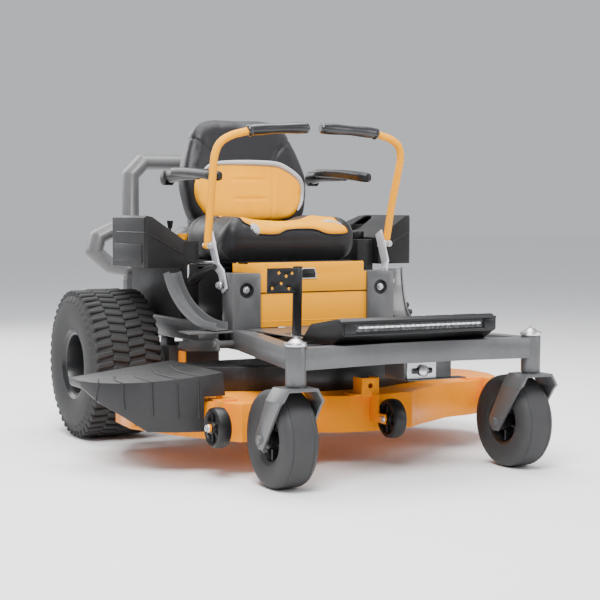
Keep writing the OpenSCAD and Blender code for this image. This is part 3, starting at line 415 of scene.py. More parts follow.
def addFloor():
    bm = bmesh.new()
    bmesh.ops.create_grid(bm, x_segments=1, y_segments=1, size=30)
    mesh = bpy.data.meshes.new("floor")
    bm.to_mesh(mesh)
    bm.free()
    floor = bpy.data.objects.new("floor", mesh)
    mesh.materials.append(paint["floorPaper"])
    bpy.context.scene.collection.objects.link(floor)


addCamera()
addLights()
addFloor()

# turned and swept shapes
def lathe(points, steps=96):  # points are (along the axle, radius), the axle is X
    bm = bmesh.new()
    ring = [bm.verts.new((a, 0, r)) for a, r in points]
    edges = [bm.edges.new((ring[i], ring[(i + 1) % len(ring)])) for i in range(len(ring))]
    bmesh.ops.spin(bm, geom=ring + edges, cent=(0, 0, 0), axis=(1, 0, 0), angle=math.tau, steps=steps,
                   use_merge=True)
    bmesh.ops.remove_doubles(bm, verts=bm.verts, dist=0.00001)
    bmesh.ops.recalc_face_normals(bm, faces=bm.faces)
    return bm


def roundPath(points, radius, steps=6):  # rounds each inner corner of a route
    route = [Vector(points[0])]
    for before, here, after in zip(points, points[1:], points[2:]):
        before, here, after = Vector(before), Vector(here), Vector(after)
        reach = min(radius, (before - here).length * 0.49, (after - here).length * 0.49)
        start = here + (before - here).normalized() * reach
        end = here + (after - here).normalized() * reach
        for k in range(steps + 1):
            t = k / steps
            route.append(start * (1 - t) ** 2 + here * 2 * t * (1 - t) + end * t ** 2)
    route.append(Vector(points[-1]))
    return route


def tube(route, radius, sides=20, cap=True):  # radius is a number or a function of 0..1 along the route
    bm = bmesh.new()
    total = sum((b - a).length for a, b in zip(route, route[1:]))
    along, up, loops = 0.0, None, []
    for i, here in enumerate(route):
        forward = (route[min(i + 1, len(route) - 1)] - route[max(i - 1, 0)]).normalized()
        if up is None:
            up = forward.orthogonal().normalized()
        up = (up - forward * up.dot(forward)).normalized()
        if i:
            along += (here - route[i - 1]).length
        size = radius(along / total) if callable(radius) else radius
        turn = Matrix((forward.cross(up), up, forward)).transposed().to_4x4()
        made = bmesh.ops.create_circle(bm, cap_ends=False, segments=sides, radius=size,
                                       matrix=Matrix.Translation(here) @ turn)["verts"]
        loops.append([e for e in bm.edges if e.verts[0] in made and e.verts[1] in made])
    for first, second in zip(loops, loops[1:]):
        bmesh.ops.bridge_loops(bm, edges=first + second)
    if cap:
        bmesh.ops.holes_fill(bm, edges=loops[0] + loops[-1], sides=0)
    bmesh.ops.recalc_face_normals(bm, faces=bm.faces)
    return bm


def joinInto(bm, other, matrix=Matrix.Identity(4), material=0):
    mesh = bpy.data.meshes.new("part")
    other.transform(matrix)
    for face in other.faces:
        face.material_index = material
    other.to_mesh(mesh)
    bm.from_mesh(mesh)
    bpy.data.meshes.remove(mesh)
    other.free()
    return bm


def moved(bm, offset):
    bmesh.ops.translate(bm, vec=offset, verts=bm.verts)
    return bm


def roundedBlock(size, bevel, segments=2):
    bm = bmesh.new()
    bmesh.ops.create_cube(bm, size=1)
    bmesh.ops.scale(bm, vec=size, verts=bm.verts)
    if bevel:
        bmesh.ops.bevel(bm, geom=bm.edges[:], offset=bevel, offset_type="OFFSET", segments=segments,
                        profile=0.5,
                        affect="EDGES", clamp_overlap=True, material=-1)
    return bm


def blockBetween(low, high, bevel=0.001, segments=2):
    low, high = Vector(low), Vector(high)
    return moved(roundedBlock(high - low, bevel, segments), (low + high) / 2)


# drive wheels
driveTyre = {"lugRows": (-84, -28, 28, 84), "lugsRound": 46, "lugWide": 0.060, "lugLong": 0.019,
             "lugDeep": 0.012,
             "shoulderLugs": 46}


def driveWheel(side, name):
    low, high, middle = boxOf("rear_tyre_" + name)
    outer = (high.z - low.z) / 2
    half = (high.x - low.x) / 2
    bead = 0.104
    deep = driveTyre["lugDeep"]
    skin = outer - deep + 0.003
    profile = [(-half * 0.74, bead), (-half * 0.90, bead + 0.016), (-half * 0.985, bead + 0.046),
               (-half, bead + 0.080), (-half * 0.975, skin - 0.034), (-half * 0.90, skin - 0.016),
               (-half * 0.76, skin - 0.006), (-half * 0.45, skin - 0.001), (0, skin)]
    profile += [(-a, r) for a, r in reversed(profile[:-1])]
    profile += [(half * 0.6, bead - 0.001), (-half * 0.6, bead - 0.001)]
    bm = lathe(profile, 120)
    lug = roundedBlock((driveTyre["lugWide"], driveTyre["lugLong"], deep * 2), 0.004, 1)
    for row, offset in enumerate(driveTyre["lugRows"]):
        across = offset / 1000
        drop = (abs(across) / half) ** 3 * 0.012
        for k in range(driveTyre["lugsRound"]):
            turn = (k + (row % 2) * 0.5) / driveTyre["lugsRound"] * math.tau
            twist = Matrix.Rotation(math.radians(9 * (-1) ** row), 4, "Z")
            place = Matrix.Rotation(turn, 4, "X") @ Matrix.Translation((across, 0,
                                                                        outer - deep - drop)) @ twist
            joinInto(bm, lug.copy(), place)
    for edge in (-1, 1):
        for k in range(driveTyre["shoulderLugs"]):
            turn = (k + (0.25 if edge < 0 else 0.75)) / driveTyre["shoulderLugs"] * math.tau
            lean = Matrix.Rotation(math.radians(52 * edge), 4, "Y")
            place = (Matrix.Rotation(turn, 4, "X") @ Matrix.Translation((edge * half * 0.865, 0,
                                                                         outer - 0.031))
                     @ lean @ Matrix.Diagonal((0.62, 0.9, 0.62, 1)))
            joinInto(bm, lug.copy(), place)
    lug.free()
    moved(bm, middle)
    finishPiece("driveTyre" + name.title(), bm, "tyreRubber", bodyOf["rear_tyre_" + name],
                ("rear_tyre_" + name,), 30)

    lip, dish = 0.120, 0.060
    rim = [(half * 0.72, bead + 0.001), (half * 0.86, lip), (half * 0.90, lip + 0.001),
           (half * 0.905, lip - 0.003), (half * 0.82, bead + 0.004), (half * 0.80, bead - 0.004),
           (half * 0.62, bead - 0.010), (half * 0.30, bead - 0.014), (half * 0.16, dish + 0.012),
           (half * 0.10, dish - 0.004), (half * 0.12, 0.046), (half * 0.10, 0.040), (half * 0.10, 0.002),
           (half * 0.06, 0.002), (half * 0.06, 0.046), (half * 0.05, dish), (half * 0.24, bead - 0.006),
           (-half * 0.72, bead - 0.003), (-half * 0.88, lip - 0.002), (-half * 0.88, lip + 0.001),
           (-half * 0.72, bead + 0.001)]
    bm = lathe(rim, 96)
    if side < 0:
        bmesh.ops.scale(bm, vec=(-1, 1, 1), verts=bm.verts)
        bmesh.ops.reverse_faces(bm, faces=bm.faces)
    moved(bm, middle)
    finishPiece("driveRim" + name.title(), bm, "blackPaint", bodyOf["rear_rim_" + name], (),
                32)

    hub = bmesh.new()
    for k in range(5):
        nut = lathe([(0.0, 0.004), (0.0, 0.0115), (0.012, 0.0115), (0.014, 0.008), (0.014, 0.004)], 6)
        stud = lathe([(0, 0.0001), (0, 0.006), (0.024, 0.006), (0.026, 0.004), (0.026, 0.0001)], 16)
        joinInto(nut, stud)
        joinInto(hub, nut, Matrix.Rotation(k * math.tau / 5, 4,
                                           "X") @ Matrix.Translation((half * 0.1, 0, 0.052)))
    cap = lathe([(half * 0.1, 0.0001), (half * 0.1, 0.026), (half * 0.24, 0.024), (half * 0.26, 0.018),
                 (half * 0.26, 0.0001)], 32)
    joinInto(hub, cap)
    if side < 0:
        bmesh.ops.scale(hub, vec=(-1, 1, 1), verts=hub.verts)
        bmesh.ops.reverse_faces(hub, faces=hub.faces)
    moved(hub, middle)
    finishPiece("driveHub" + name.title(), hub, "zincPlate", bodyOf["rear_rim_" + name], (), 30)

    axle = lathe([(0, 0.0001), (0, 0.0158), (-half * 1.9 * side / abs(side), 0.0158),
                  (-half * 1.9 * side / abs(side), 0.0001)], 32)
    drum = lathe([(-0.03 * side, 0.014), (-0.03 * side, 0.044), (0.0, 0.044), (0.0, 0.014)], 40)
    joinInto(axle, drum)
    bmesh.ops.recalc_face_normals(axle, faces=axle.faces)
    moved(axle, middle)
    finishPiece("axleShaft" + name.title(), axle, "castMetal", bodyOf["rear_rim_" + name],
                ("rear_rim_" + name,), 32)


# front casters
def casterWheel(name):
    low, high, middle = boxOf("caster_wheel_" + name)
    outer = (high.z - low.z) / 2
    half = (high.x - low.x) / 2
    bead = 0.067
    profile = [(-half * 0.70, bead), (-half * 0.88, bead + 0.008), (-half * 0.98, bead + 0.024),
               (-half, bead + 0.042), (-half * 0.97, bead + 0.055), (-half * 0.955, bead + 0.057),
               (-half * 0.90, outer - 0.010), (-half * 0.80, outer - 0.005), (-half * 0.66, outer - 0.0018),
               (-half * 0.60, outer - 0.0036), (-half * 0.54, outer - 0.0012), (-half * 0.20, outer),
               (0, outer)]
    profile += [(-a, r) for a, r in reversed(profile[:-1])]
    profile += [(half * 0.6, bead - 0.001), (-half * 0.6, bead - 0.001)]
    bm = lathe(profile, 96)
    for edge in (-1, 1):  # raised moulding marks round the sidewall
        for k in range(24):
            mark = roundedBlock((0.0022, 0.012 if k % 3 else 0.006, 0.006), 0.0006, 1)
            place = (Matrix.Rotation(k * math.tau / 24, 4, "X")
                     @ Matrix.Translation((edge * half * 0.972, 0, bead + 0.030)))
            joinInto(bm, mark, place)
    moved(bm, middle)
    finishPiece("casterTyre" + name.title(), bm, "castorRubber", bodyOf["caster_wheel_" + name],
                ("caster_wheel_" + name,), 30)
    rim = [(half * 0.70, bead + 0.001), (half * 0.78, bead + 0.009), (half * 0.82, bead + 0.009),
           (half * 0.74, bead - 0.003), (half * 0.45, bead - 0.008), (half * 0.16, bead - 0.014),
           (half * 0.12, 0.040), (half * 0.20, 0.030), (half * 0.60, 0.027), (half * 0.88, 0.026),
           (half * 0.90, 0.023), (half * 0.90, 0.009)]
    rim += [(-a, r) for a, r in reversed(rim)]
    bm = lathe(rim, 72)
    for edge in (-1, 1):  # ribs between hub and barrel
        for k in range(5):
            rib = roundedBlock((half * 0.5, 0.006, bead - 0.034), 0.0015, 1)
            place = (Matrix.Rotation((k + 0.5) * math.tau / 5, 4, "X")
                     @ Matrix.Translation((edge * half * 0.36, 0, (bead + 0.022) / 2)))
            joinInto(bm, rib, place)
    moved(bm, middle)
    finishPiece("casterRim" + name.title(), bm, "blackPaint", bodyOf["caster_wheel_" + name],
                (), 32)


driveWheel(-1, "right")
driveWheel(1, "left")
casterWheel("right")
casterWheel("left")
print("wheels ready")


# padded pieces
def smoothLoop(points, per=8):  # closed curve through a few points
    out, n = [], len(points)
    for i in range(n):
        p0, p1, p2, p3 = (Vector(points[(i + k - 1) % n]) for k in range(4))
        for k in range(per):
            t = k / per
            out.append(0.5 * (2 * p1 + (p2 - p0) * t + (2 * p0 - 5 * p1 + 4 * p2 - p3) * t * t
                              + (3 * p1 - p0 - 3 * p2 + p3) * t ** 3))
    return out


def nearestOn(line, point, closed=True):
    best = (1e9, point)
    for i in range(len(line) if closed else len(line) - 1):
        a, b = line[i], line[(i + 1) % len(line)]
        ab = b - a
        t = max(0, min(1, (point - a).dot(ab) / max(ab.length_squared, 1e-12)))
        spot = a + ab * t
        best = min(best, ((point - spot).length, spot), key=lambda pair: pair[0])
    return best


def isInside(loop, point):
    hit = False
    for i in range(len(loop)):
        a, b = loop[i], loop[i - 1]
        if (a.y > point.y) != (b.y > point.y) and point.x < (b.x - a.x) * (point.y - a.y) / (b.y - a.y) + a.x:
            hit = not hit
    return hit


def meshOf(piece):
    return bpy.data.meshes.new_from_object(piece.evaluated_get(bpy.context.evaluated_depsgraph_get()))


def puffed(bm, voxel=0.006, pressure=4.0, cap=0.014, frames=20):  # a sewn cover filled until it is tight
    mesh = bpy.data.meshes.new("pad")
    bm.to_mesh(mesh)
    bm.free()
    pad = bpy.data.objects.new("pad", mesh)
    scene = bpy.context.scene
    scene.collection.objects.link(pad)
    remesh = pad.modifiers.new("remesh", "REMESH")
    remesh.mode = "VOXEL"
    remesh.voxel_size = voxel
    pad.data = meshOf(pad)
    pad.modifiers.clear()
    before = [v.co.copy() for v in pad.data.vertices]
    after = before
    cloth = pad.modifiers.new("cloth", "CLOTH")
    cloth.settings.quality = 4
    cloth.settings.use_pressure = True
    cloth.settings.uniform_pressure_force = pressure
    cloth.settings.effector_weights.gravity = 0
    cloth.point_cache.frame_end = frames
    for step in range(1, frames + 1):
        scene.frame_set(step)
    after = [v.co.copy() for v in meshOf(pad).vertices]
    scene.frame_set(1)
    result = bmesh.new()
    result.from_mesh(pad.data)
    result.verts.ensure_lookup_table()
    for vert, old, new in zip(result.verts, before, after):
        shift = new - old
        if shift.length > cap:
            shift = shift.normalized() * cap
        vert.co = old + shift
    bpy.data.objects.remove(pad)
    for _ in range(3):
        bmesh.ops.smooth_vert(result, verts=result.verts, factor=0.5, use_axis_x=True, use_axis_y=True,
                              use_axis_z=True)
    return result


def treeOf(bm):
    bm.verts.ensure_lookup_table()
    bm.faces.ensure_lookup_table()
    return BVHTree.FromBMesh(bm)


def creased(bm, seams, flatten, depth=0.003, width=0.005,
            keep=lambda v: True):  # sewn channels along routes
    for vert in bm.verts:
        if not keep(vert):
            continue
        spot = flatten(vert.co)
        near = min(nearestOn(seam, spot, False)[0] for seam in seams)
        if near < width * 3:
            vert.co -= vert.normal * depth * math.exp(-(near / width) ** 2)
    return bm


def gridPatch(loop, cast, lift, cell=0.004, rim=0.012, seams=(),
              depth=0.002):  # a panel lying on another pad
    xs, ys = [p.x for p in loop], [p.y for p in loop]
    wide, tall = max(xs) - min(xs), max(ys) - min(ys)
    bm = bmesh.new()
    bmesh.ops.create_grid(bm, x_segments=round(wide / cell), y_segments=round(tall / cell), size=0.5)
    bmesh.ops.scale(bm, vec=(wide, tall, 1), verts=bm.verts)
    moved(bm, ((max(xs) + min(xs)) / 2, (max(ys) + min(ys)) / 2, 0))
    out = [f for f in bm.faces if not isInside(loop, f.calc_center_median().xy)]
    bmesh.ops.delete(bm, geom=out, context="FACES")
    for edge in [e for e in bm.edges if e.is_boundary]:
        for vert in edge.verts:
            vert.co.xy = nearestOn(loop, vert.co.xy)[1]
    inner = [v for v in bm.verts if not v.is_boundary]
    bmesh.ops.smooth_vert(bm, verts=inner, factor=0.5, use_axis_x=True, use_axis_y=True, use_axis_z=False)
    for vert in bm.verts:
        flat = vert.co.xy
        inwards = nearestOn(loop, flat)[0]
        t = min(1, inwards / rim)
        rise = -0.003 + (lift + 0.003) * (1 - (1 - t) ** 2)
        for seam in seams:
            near = nearestOn(seam, flat, False)[0]
            rise -= depth * math.exp(-(near / 0.0045) ** 2)
        vert.co = cast(flat.x, flat.y, rise)
    bmesh.ops.recalc_face_normals(bm, faces=bm.faces)
    return bm


cushion = {"inset": 0.010, "bolster": 0.020, "dip": 0.014, "lift": 0.004}


def seatCushion():
    low, high, middle = boxOf("seat_cushion")
    size = high - low
    edge = cushion["inset"]
    bm = roundedBlock((size.x - edge * 2, size.y - edge * 2, size.z - edge * 1.6), 0.045, 5)
    moved(bm, middle + Vector((0, 0, -edge * 0.2)))
    bm = puffed(bm, 0.0065, 4.0, 0.012)
    top = high.z
    for vert in bm.verts:
        side = abs(vert.co.x - middle.x) / (size.x / 2)
        back = (vert.co.y - low.y) / size.y
        share = max(0, min(1, (vert.co.z - low.z) / size.z))
        rise = cushion["bolster"] * max(0, min(1, (side - 0.5) / 0.3)) * (0.35 + 0.65 * back)
        sink = cushion["dip"] * max(0, 1 - (side / 0.62) ** 2) * max(0, min(1, back / 0.3))
        vert.co.z += (rise - sink) * share ** 3
        vert.co.y += 0.018 * (1 - share) * max(0, 1 - back * 3)
    bm.normal_update()
    tree = treeOf(bm)
    hub = Vector((middle.x, low.y + 0.17, low.z + 0.03))
    arm = 0.16

    def cast(u, v, rise):  # u runs across, v runs from the front face over the top
        angle = v / arm
        away = Vector((0, -math.cos(angle), math.sin(angle)))
        start = hub + Vector((u, 0, 0))
        hit, normal = tree.ray_cast(start, away)[:2]
        return hit + normal * rise if hit else start + away * 0.12

    def flatten(point):
        rel = point - hub
        return Vector((rel.x, math.atan2(rel.z, -rel.y) * arm))

    yellow = [(-0.150, 0.092), (-0.142, 0.068), (-0.100, 0.062), (-0.055, 0.063), (-0.018, 0.078),
              (0.030, 0.081),
              (0.082, 0.079), (0.122, 0.064), (0.160, 0.060), (0.206, 0.064), (0.204, 0.086),
              (0.182, 0.120),
              (0.178, 0.200), (0.186, 0.330), (0.120, 0.345), (0, 0.348), (-0.120, 0.345), (-0.186, 0.330),
              (-0.178, 0.200), (-0.176, 0.120)]
    loop = smoothLoop(yellow, 6)
    seams = [[Vector((s * 0.070, 0.150)), Vector((s * 0.080, 0.330))] for s in (-1, 1)]
    seams += [[Vector((-0.055, v)), Vector((0.055, v))] for v in (0.190, 0.245)]
    insert = gridPatch(loop, cast, cushion["lift"], 0.005, 0.012, seams, 0.0025)
    rim = tube([cast(p.x, p.y, 0.0005) for p in loop + loop[:1]], 0.0022, 8, False)
    # painted highlights: light grey patches on the rolled front corners of the cushion, where the lamps glint on
    # the vinyl
    highlightRightLoop = smoothLoop([(-0.153, 0.096), (-0.146, 0.067), (-0.124, 0.061), (-0.119, 0.084),
                         (-0.126, 0.102),
                         (-0.142, 0.108)], 4)
    highlightRightPatch = gridPatch(highlightRightLoop, cast, cushion["lift"] + 0.0012, 0.004, 0.006)
    highlightLeftLoop = smoothLoop([(0.196, 0.088), (0.184, 0.112), (0.146, 0.124), (0.112, 0.116), (0.124, 0.106),
                       (0.165, 0.100)], 4)
    creased(bm, [loop + loop[:1]], flatten, 0.003, 0.004)
    band = [[Vector((-0.26, 0.045)), Vector((0.26, 0.045))]]
    creased(bm, band, flatten, 0.0015, 0.004, lambda v: v.co.y < low.y + 0.1)
    body = finishPiece("cushionCover", bm, "blackVinyl", "seat", ("seat_cushion",), 60)
    panel = finishPiece("cushionInsert", insert, "yellowVinyl", "seat", (), 60)
    highlightRightPiece = finishPiece("cushionHighlightRight", highlightRightPatch, "silverVinyl", "seat", (), 60)
    highlightLeftPiece = finishPiece("cushionHighlightLeft", gridPatch(highlightLeftLoop, cast, 0.005, 0.004, 0.006), "silverVinyl", "seat",
                        (), 60)
    finishPiece("cushionPiping", rim, "blackVinyl", "seat", (), 60)


backrest = {"lean": 12, "thick": 0.100, "lift": 0.006}


def seatBackrest():
    high = boxOf("seat_backrest")[1]
    lean = math.radians(backrest["lean"])
    base = at(0, -64, 757)
    tallWay = Vector((0, math.sin(lean), math.cos(lean)))
    inWay = Vector((0, math.cos(lean), -math.sin(lean)))
    tall = (high.z - base.z - 0.05 * math.sin(lean)) / math.cos(lean)
    half = [(0.0, tall - 0.012), (0.120, tall - 0.016), (0.178, tall - 0.048), (0.208, tall - 0.105),
            (0.236, tall - 0.185), (0.247, 0.120), (0.240, 0.050), (0.222, -0.012), (0.180, -0.044),
            (0.09, -0.048)]
    loop = smoothLoop(half + [(-x, z) for x, z in reversed(half[1:])], 5)
    bm = bmesh.new()
    ring = [bm.verts.new((p.x, 0, p.y)) for p in loop]
    face = bm.faces.new(ring)
    made = bmesh.ops.extrude_face_region(bm, geom=[face])["geom"]
    bmesh.ops.translate(bm, vec=(0, backrest["thick"] - 0.018, 0),
                        verts=[g for g in made if isinstance(g, bmesh.types.BMVert)])
    rim = [e for e in bm.edges if len(e.link_faces) == 2 and e.calc_face_angle(0) > 1.2]
    bmesh.ops.bevel(bm, geom=rim, offset=0.030, offset_type="OFFSET", segments=5, profile=0.5,
                    affect="EDGES",
                    clamp_overlap=True, material=-1)
    bmesh.ops.recalc_face_normals(bm, faces=bm.faces)
    moved(bm, (0, -backrest["thick"] / 2 + 0.009, 0))
    bm = puffed(bm, 0.0065, 4.0, 0.010)
    for vert in bm.verts:  # shoulders come forward, the middle is hollow
        side = min(1, abs(vert.co.x) / 0.24)
        if vert.co.y < 0:
            vert.co.y += -0.020 * max(0, (side - 0.55) / 0.45) + 0.010 * (1 - side ** 2)
    place = Matrix((Vector((1, 0, 0)), inWay, tallWay)).transposed().to_4x4()
    bm.transform(Matrix.Translation(base) @ place)
    bm.normal_update()
    tree = treeOf(bm)

    def cast(u, v, rise):
        start = base + Vector((u, 0, 0)) + tallWay * v - inWay * 0.3
        hit, normal = tree.ray_cast(start, inWay)[:2]
        return hit + normal * rise if hit else start + inWay * 0.25

    def flatten(point):
        rel = point - base
        return Vector((rel.x, rel.dot(tallWay)))

    def isFront(vert):
        return (vert.co - base).dot(inWay) < 0.0

    half = [(0.0, 0.182), (0.108, 0.178), (0.150, 0.164), (0.198, 0.122), (0.209, 0.076), (0.194, 0.024),
            (0.150, -0.018), (0.060, -0.024)]
    loop = smoothLoop(half + [(-x, z) for x, z in reversed(half[1:])], 6)
    seams = [[Vector((-0.052, z)), Vector((0.066, z))] for z in (0.121, 0.052)]
    seams += [[Vector((s * 0.104, 0.176)), Vector((s * 0.100, 0.09)),
               Vector((s * 0.086, -0.015))] for s in (-1, 1)]
    insert = gridPatch(loop, cast, backrest["lift"], 0.0045, 0.014, seams, 0.0028)
    wings = [[Vector((s * 0.230, 0.30)), Vector((s * 0.185, 0.268)), Vector((s * 0.134, 0.226)),
              Vector((s * 0.112, 0.192))] for s in (-1, 1)]
    creased(bm, wings + [loop + loop[:1]], flatten, 0.004, 0.0045, isFront)
    body = finishPiece("backrestCover", bm, "blackVinyl", "seat", ("seat_backrest",), 60)
    panel = finishPiece("backrestInsert", insert, "yellowVinyl", "seat", (), 60)
    # painted highlight: a light grey crescent over the top of the insert, widest at the top, where the lamps glint
    # on the rolled vinyl
    highlightRoute = [p for p in loop if p.y > 0.004 and (p.x > -0.15 or p.y > 0.15)]
    start = next(i for i in range(len(highlightRoute)) if (highlightRoute[i] - highlightRoute[i - 1]).length > 0.03)
    highlightRoute = highlightRoute[start:] + highlightRoute[:start]
    highlightArc = tube([cast(p.x, p.y, 0.0035) for p in highlightRoute],
               lambda t: 0.003 + 0.008 * math.sin(math.pi * min(1, max(0, t))) ** 0.6, 12)
    finishPiece("backrestHighlight", highlightArc, "silverVinyl", "seat", (), 60)
    shell = blockBetween(at(-205, -22, 640), at(205, 8, 700), 0.01, 3)
    finishPiece("backrestBracket", shell, "blackPaint", "seat", (), 40)


armPad = {"across": 278, "thick": 0.030}


def armrest(side):
    low, high = boxOf("armrests")[:2]
    top, pivot = high.z, Vector((0, high.y - 0.024, low.z + 0.020))
    half = [(-0.458, 0.0), (-0.450, 0.015), (-0.425, 0.025), (-0.330, 0.028), (-0.190, 0.027),
            (-0.112, 0.022),
            (-0.086, 0.012), (-0.078, 0.0)]
    loop = smoothLoop([(x, y) for y, x in half] + [(-x, y) for y, x in reversed(half[1:-1])], 4)
    pad = bmesh.new()
    face = pad.faces.new([pad.verts.new((p.x, p.y, 0)) for p in loop])
    made = bmesh.ops.extrude_face_region(pad, geom=[face])["geom"]
    bmesh.ops.translate(pad, vec=(0, 0, armPad["thick"]), verts=[g for g in made if isinstance(g,
                                                                                               bmesh.types.BMVert)])
    rim = [e for e in pad.edges if len(e.link_faces) == 2 and e.calc_face_angle(0) > 1.2]
    bmesh.ops.bevel(pad, geom=rim, offset=0.011, offset_type="OFFSET", segments=4, profile=0.5,
                    affect="EDGES",
                    clamp_overlap=True, material=-1)
    cuts = [-0.43 + 0.025 * k for k in range(14)]
    for y in cuts:  # loops across, so the pad can bow
        bmesh.ops.bisect_plane(pad, geom=pad.verts[:] + pad.edges[:] + pad.faces[:], plane_co=(0, y, 0),
                               plane_no=(0, 1, 0))
    bmesh.ops.recalc_face_normals(pad, faces=pad.faces)
    x = side * armPad["across"] / 1000
    for vert in pad.verts:
        t = (vert.co.y + 0.458) / 0.38
        vert.co.z += top - armPad["thick"] - 0.022 * (1 - t) ** 2
    moved(pad, origin + Vector((x, 0, 0)))
    arm = tube(roundPath([Vector((origin.x + x, pivot.y, pivot.z + 0.004)),
                          Vector((origin.x + x, pivot.y - 0.085, top - 0.026)),
                          Vector((origin.x + x, pivot.y - 0.26, top - 0.034))], 0.05, 6),
               lambda t: 0.024 - 0.014 * t, 20)
    joinInto(pad, arm)
    hub = lathe([(-0.019, 0.0001), (-0.019, 0.022), (-0.016, 0.026), (0.016, 0.026), (0.019, 0.022),
                 (0.019, 0.0001)], 40)
    joinInto(pad, moved(hub, Vector((origin.x + side * 0.284, pivot.y, pivot.z))))
    finishPiece("armrest" + ("Left" if side > 0 else "Right"), pad, "blackPlastic", "arms",
                ("armrests",), 40)


seatCushion()
seatBackrest()
armrest(-1)
armrest(1)
print("seat ready")


# cockpit details
def alongY(bm):
    bm.transform(Matrix.Rotation(math.radians(90), 4, "Z"))
    return bm


def alongZ(bm):
    bm.transform(Matrix.Rotation(math.radians(-90), 4, "Y"))
    return bm


def hexBolt(radius, height, washer=1.45):  # stands on the plane x = 0 and points along +X
    bm = lathe([(0, 0.0001), (0, radius * washer), (height * 0.2, radius * washer * 0.94),
                (height * 0.24, radius),
                (height * 0.24, 0.0001)], 28)
    head = lathe([(height * 0.22, 0.0001), (height * 0.22, radius), (height * 0.9, radius),
                  (height, radius * 0.86),
                  (height, 0.0001)], 6)
    return joinInto(bm, head)


lapBarShape = {"tube": 0.0123, "grip": 0.0172, "flange": 0.021,
               "tubeRoute": [(331, -487, 665), (332, -496, 700), (333, -517, 785), (341, -566, 950),
                             (329, -577, 990), (292, -583, 1013), (222, -588, 1030)],
               "gripRoute": [(236, -587, 1026), (219, -588, 1031), (150, -590, 1036), (90.5, -591, 1039),
                             (21, -592, 1041)]}


def lapBar(side, name):
    shape = lapBarShape
    route = roundPath([at(side * x, y, z) for x, y, z in shape["tubeRoute"]], 0.045, 8)
    bar = tube(route, lambda t: shape["tube"] * min(1, 0.72 + t * 18), 24)
    eye = lathe([(-0.0132, 0.0052), (-0.0132, 0.0105), (0.0132, 0.0105), (0.0132, 0.0052)], 28)
    joinInto(bar, moved(alongY(eye), at(side * 331, -487, 665)))
    finishPiece("lapBar" + name, bar, "yellowPaint", "bar_" + name.lower(),
                ("lap_bar_" + name.lower(),), 30)

    def swell(t):
        if t < 0.03:
            return shape["flange"] * (0.75 + t * 8)
        if t < 0.05:
            return shape["flange"] * (1 - (t - 0.03) * 6)
        end = max(0, (t - 0.96) / 0.04)
        return (shape["grip"] + 0.0011 * math.sin(t * 9.4)) * (1 - 0.35 * end ** 2)

    route = roundPath([at(side * x, y, z) for x, y, z in shape["gripRoute"]], 0.02, 5)
    fine = [route[0]]
    for a, b in zip(route, route[1:]):
        count = max(1, round((b - a).length / 0.004))
        fine += [a + (b - a) * k / count for k in range(1, count + 1)]
    finishPiece("grip" + name, tube(fine, swell, 28), "gripRubber", "bar_" + name.lower(),
                (), 40)


lapBar(-1, "Right")
lapBar(1, "Left")

leverParts = {"pivot": (331, -545, 540)}
for side, name in ((-1, "Right"), (1, "Left")):
    bolt = hexBolt(0.0095, 0.011)
    if side < 0:
        bolt.transform(Matrix.Rotation(math.pi, 4, "Z"))
    moved(bolt, at(side * 315, leverParts["pivot"][1], leverParts["pivot"][2]))
    pin = alongY(hexBolt(0.0075, 0.007))
    pin.transform(Matrix.Rotation(math.pi, 4, "Z"))
    joinInto(bolt, moved(pin, at(side * 331, -511, 665)))
    finishPiece("leverBolts" + name, bolt, "zincPlate", "lever_" + name.lower(), (), 30)

towerPanel = {"mid": 245, "front": -600, "height": 525, "dish": 0.023}
for side, name in ((-1, "Right"), (1, "Left")):
    size = towerPanel["dish"]
    dish = lathe([(-0.0012, size + 0.0022), (0.0012, size + 0.001), (0.0016, size - 0.0012),
                  (-0.0065, size * 0.74),
                  (-0.0072, 0.0001), (-0.0085, 0.0001), (-0.0085, size * 0.74)], 48)
    dish.transform(Matrix.Rotation(math.radians(-90), 4, "Z"))
    # the dimple belongs to the graphite front plate; its black paint is painted shade in the recess
    finishPiece("towerDish" + name, moved(dish, at(side * towerPanel["mid"], towerPanel["front"],
                                                   towerPanel["height"])),
                "blackPaint", "chassis", (), 30)
    bolt = hexBolt(0.0088, 0.0115, 1.3)
    bolt.transform(Matrix.Rotation(math.radians(-90), 4, "Z"))
    finishPiece("towerBolt" + name, moved(bolt, at(side * towerPanel["mid"], towerPanel["front"] + 7,
                                                   towerPanel["height"])), "zincPlate", "chassis",
                (), 30)

latch = {"low": (-52, -594.5, 558), "high": (8, -590, 590), "rim": 0.0032}
rim = bmesh.new()
low, high = Vector(latch["low"]), Vector(latch["high"])
corners = [at(low.x, low.y, low.z), at(high.x, low.y, low.z), at(high.x - 7, low.y, high.z),
           at(low.x + 7, low.y, high.z)]
ringRoute = []
for i in range(4):  # rounded rectangle
    a, b, c = corners[i - 1], corners[i], corners[(i + 1) % 4]
    for t in (0, 0.25, 0.5, 0.75, 1):
        start, end = b + (a - b).normalized() * 0.006, b + (c - b).normalized() * 0.006
        ringRoute.append(start * (1 - t) ** 2 + b * 2 * t * (1 - t) + end * t ** 2)
finishPiece("latchRim", tube(ringRoute + ringRoute[:2], latch["rim"] / 2, 10, False), "silverPaint",
            "chassis",
            (), 40)
pocket = blockBetween(at(low.x + 2, low.y + 0.2, low.z + 1), at(high.x - 4, high.y, high.z - 1), 0.002, 2)
joinInto(pocket, blockBetween(at(low.x + 10, low.y - 2.5, low.z + 13),
                              at(high.x - 12, low.y + 1, low.z + 19), 0.002, 2))
finishPiece("latchPocket", pocket, "blackPlastic", "chassis", (), 40)
fold = blockBetween(at(-190, -590.4, 421), at(190, -587, 424), 0.0008, 1)
joinInto(fold, blockBetween(at(-190, -590, 512.6), at(190, -585, 515.6), 0.0008, 1), material=1)
finishPiece("panelFolds", fold, ["yellowPaint", "blackPaint"], "chassis", (), 40)

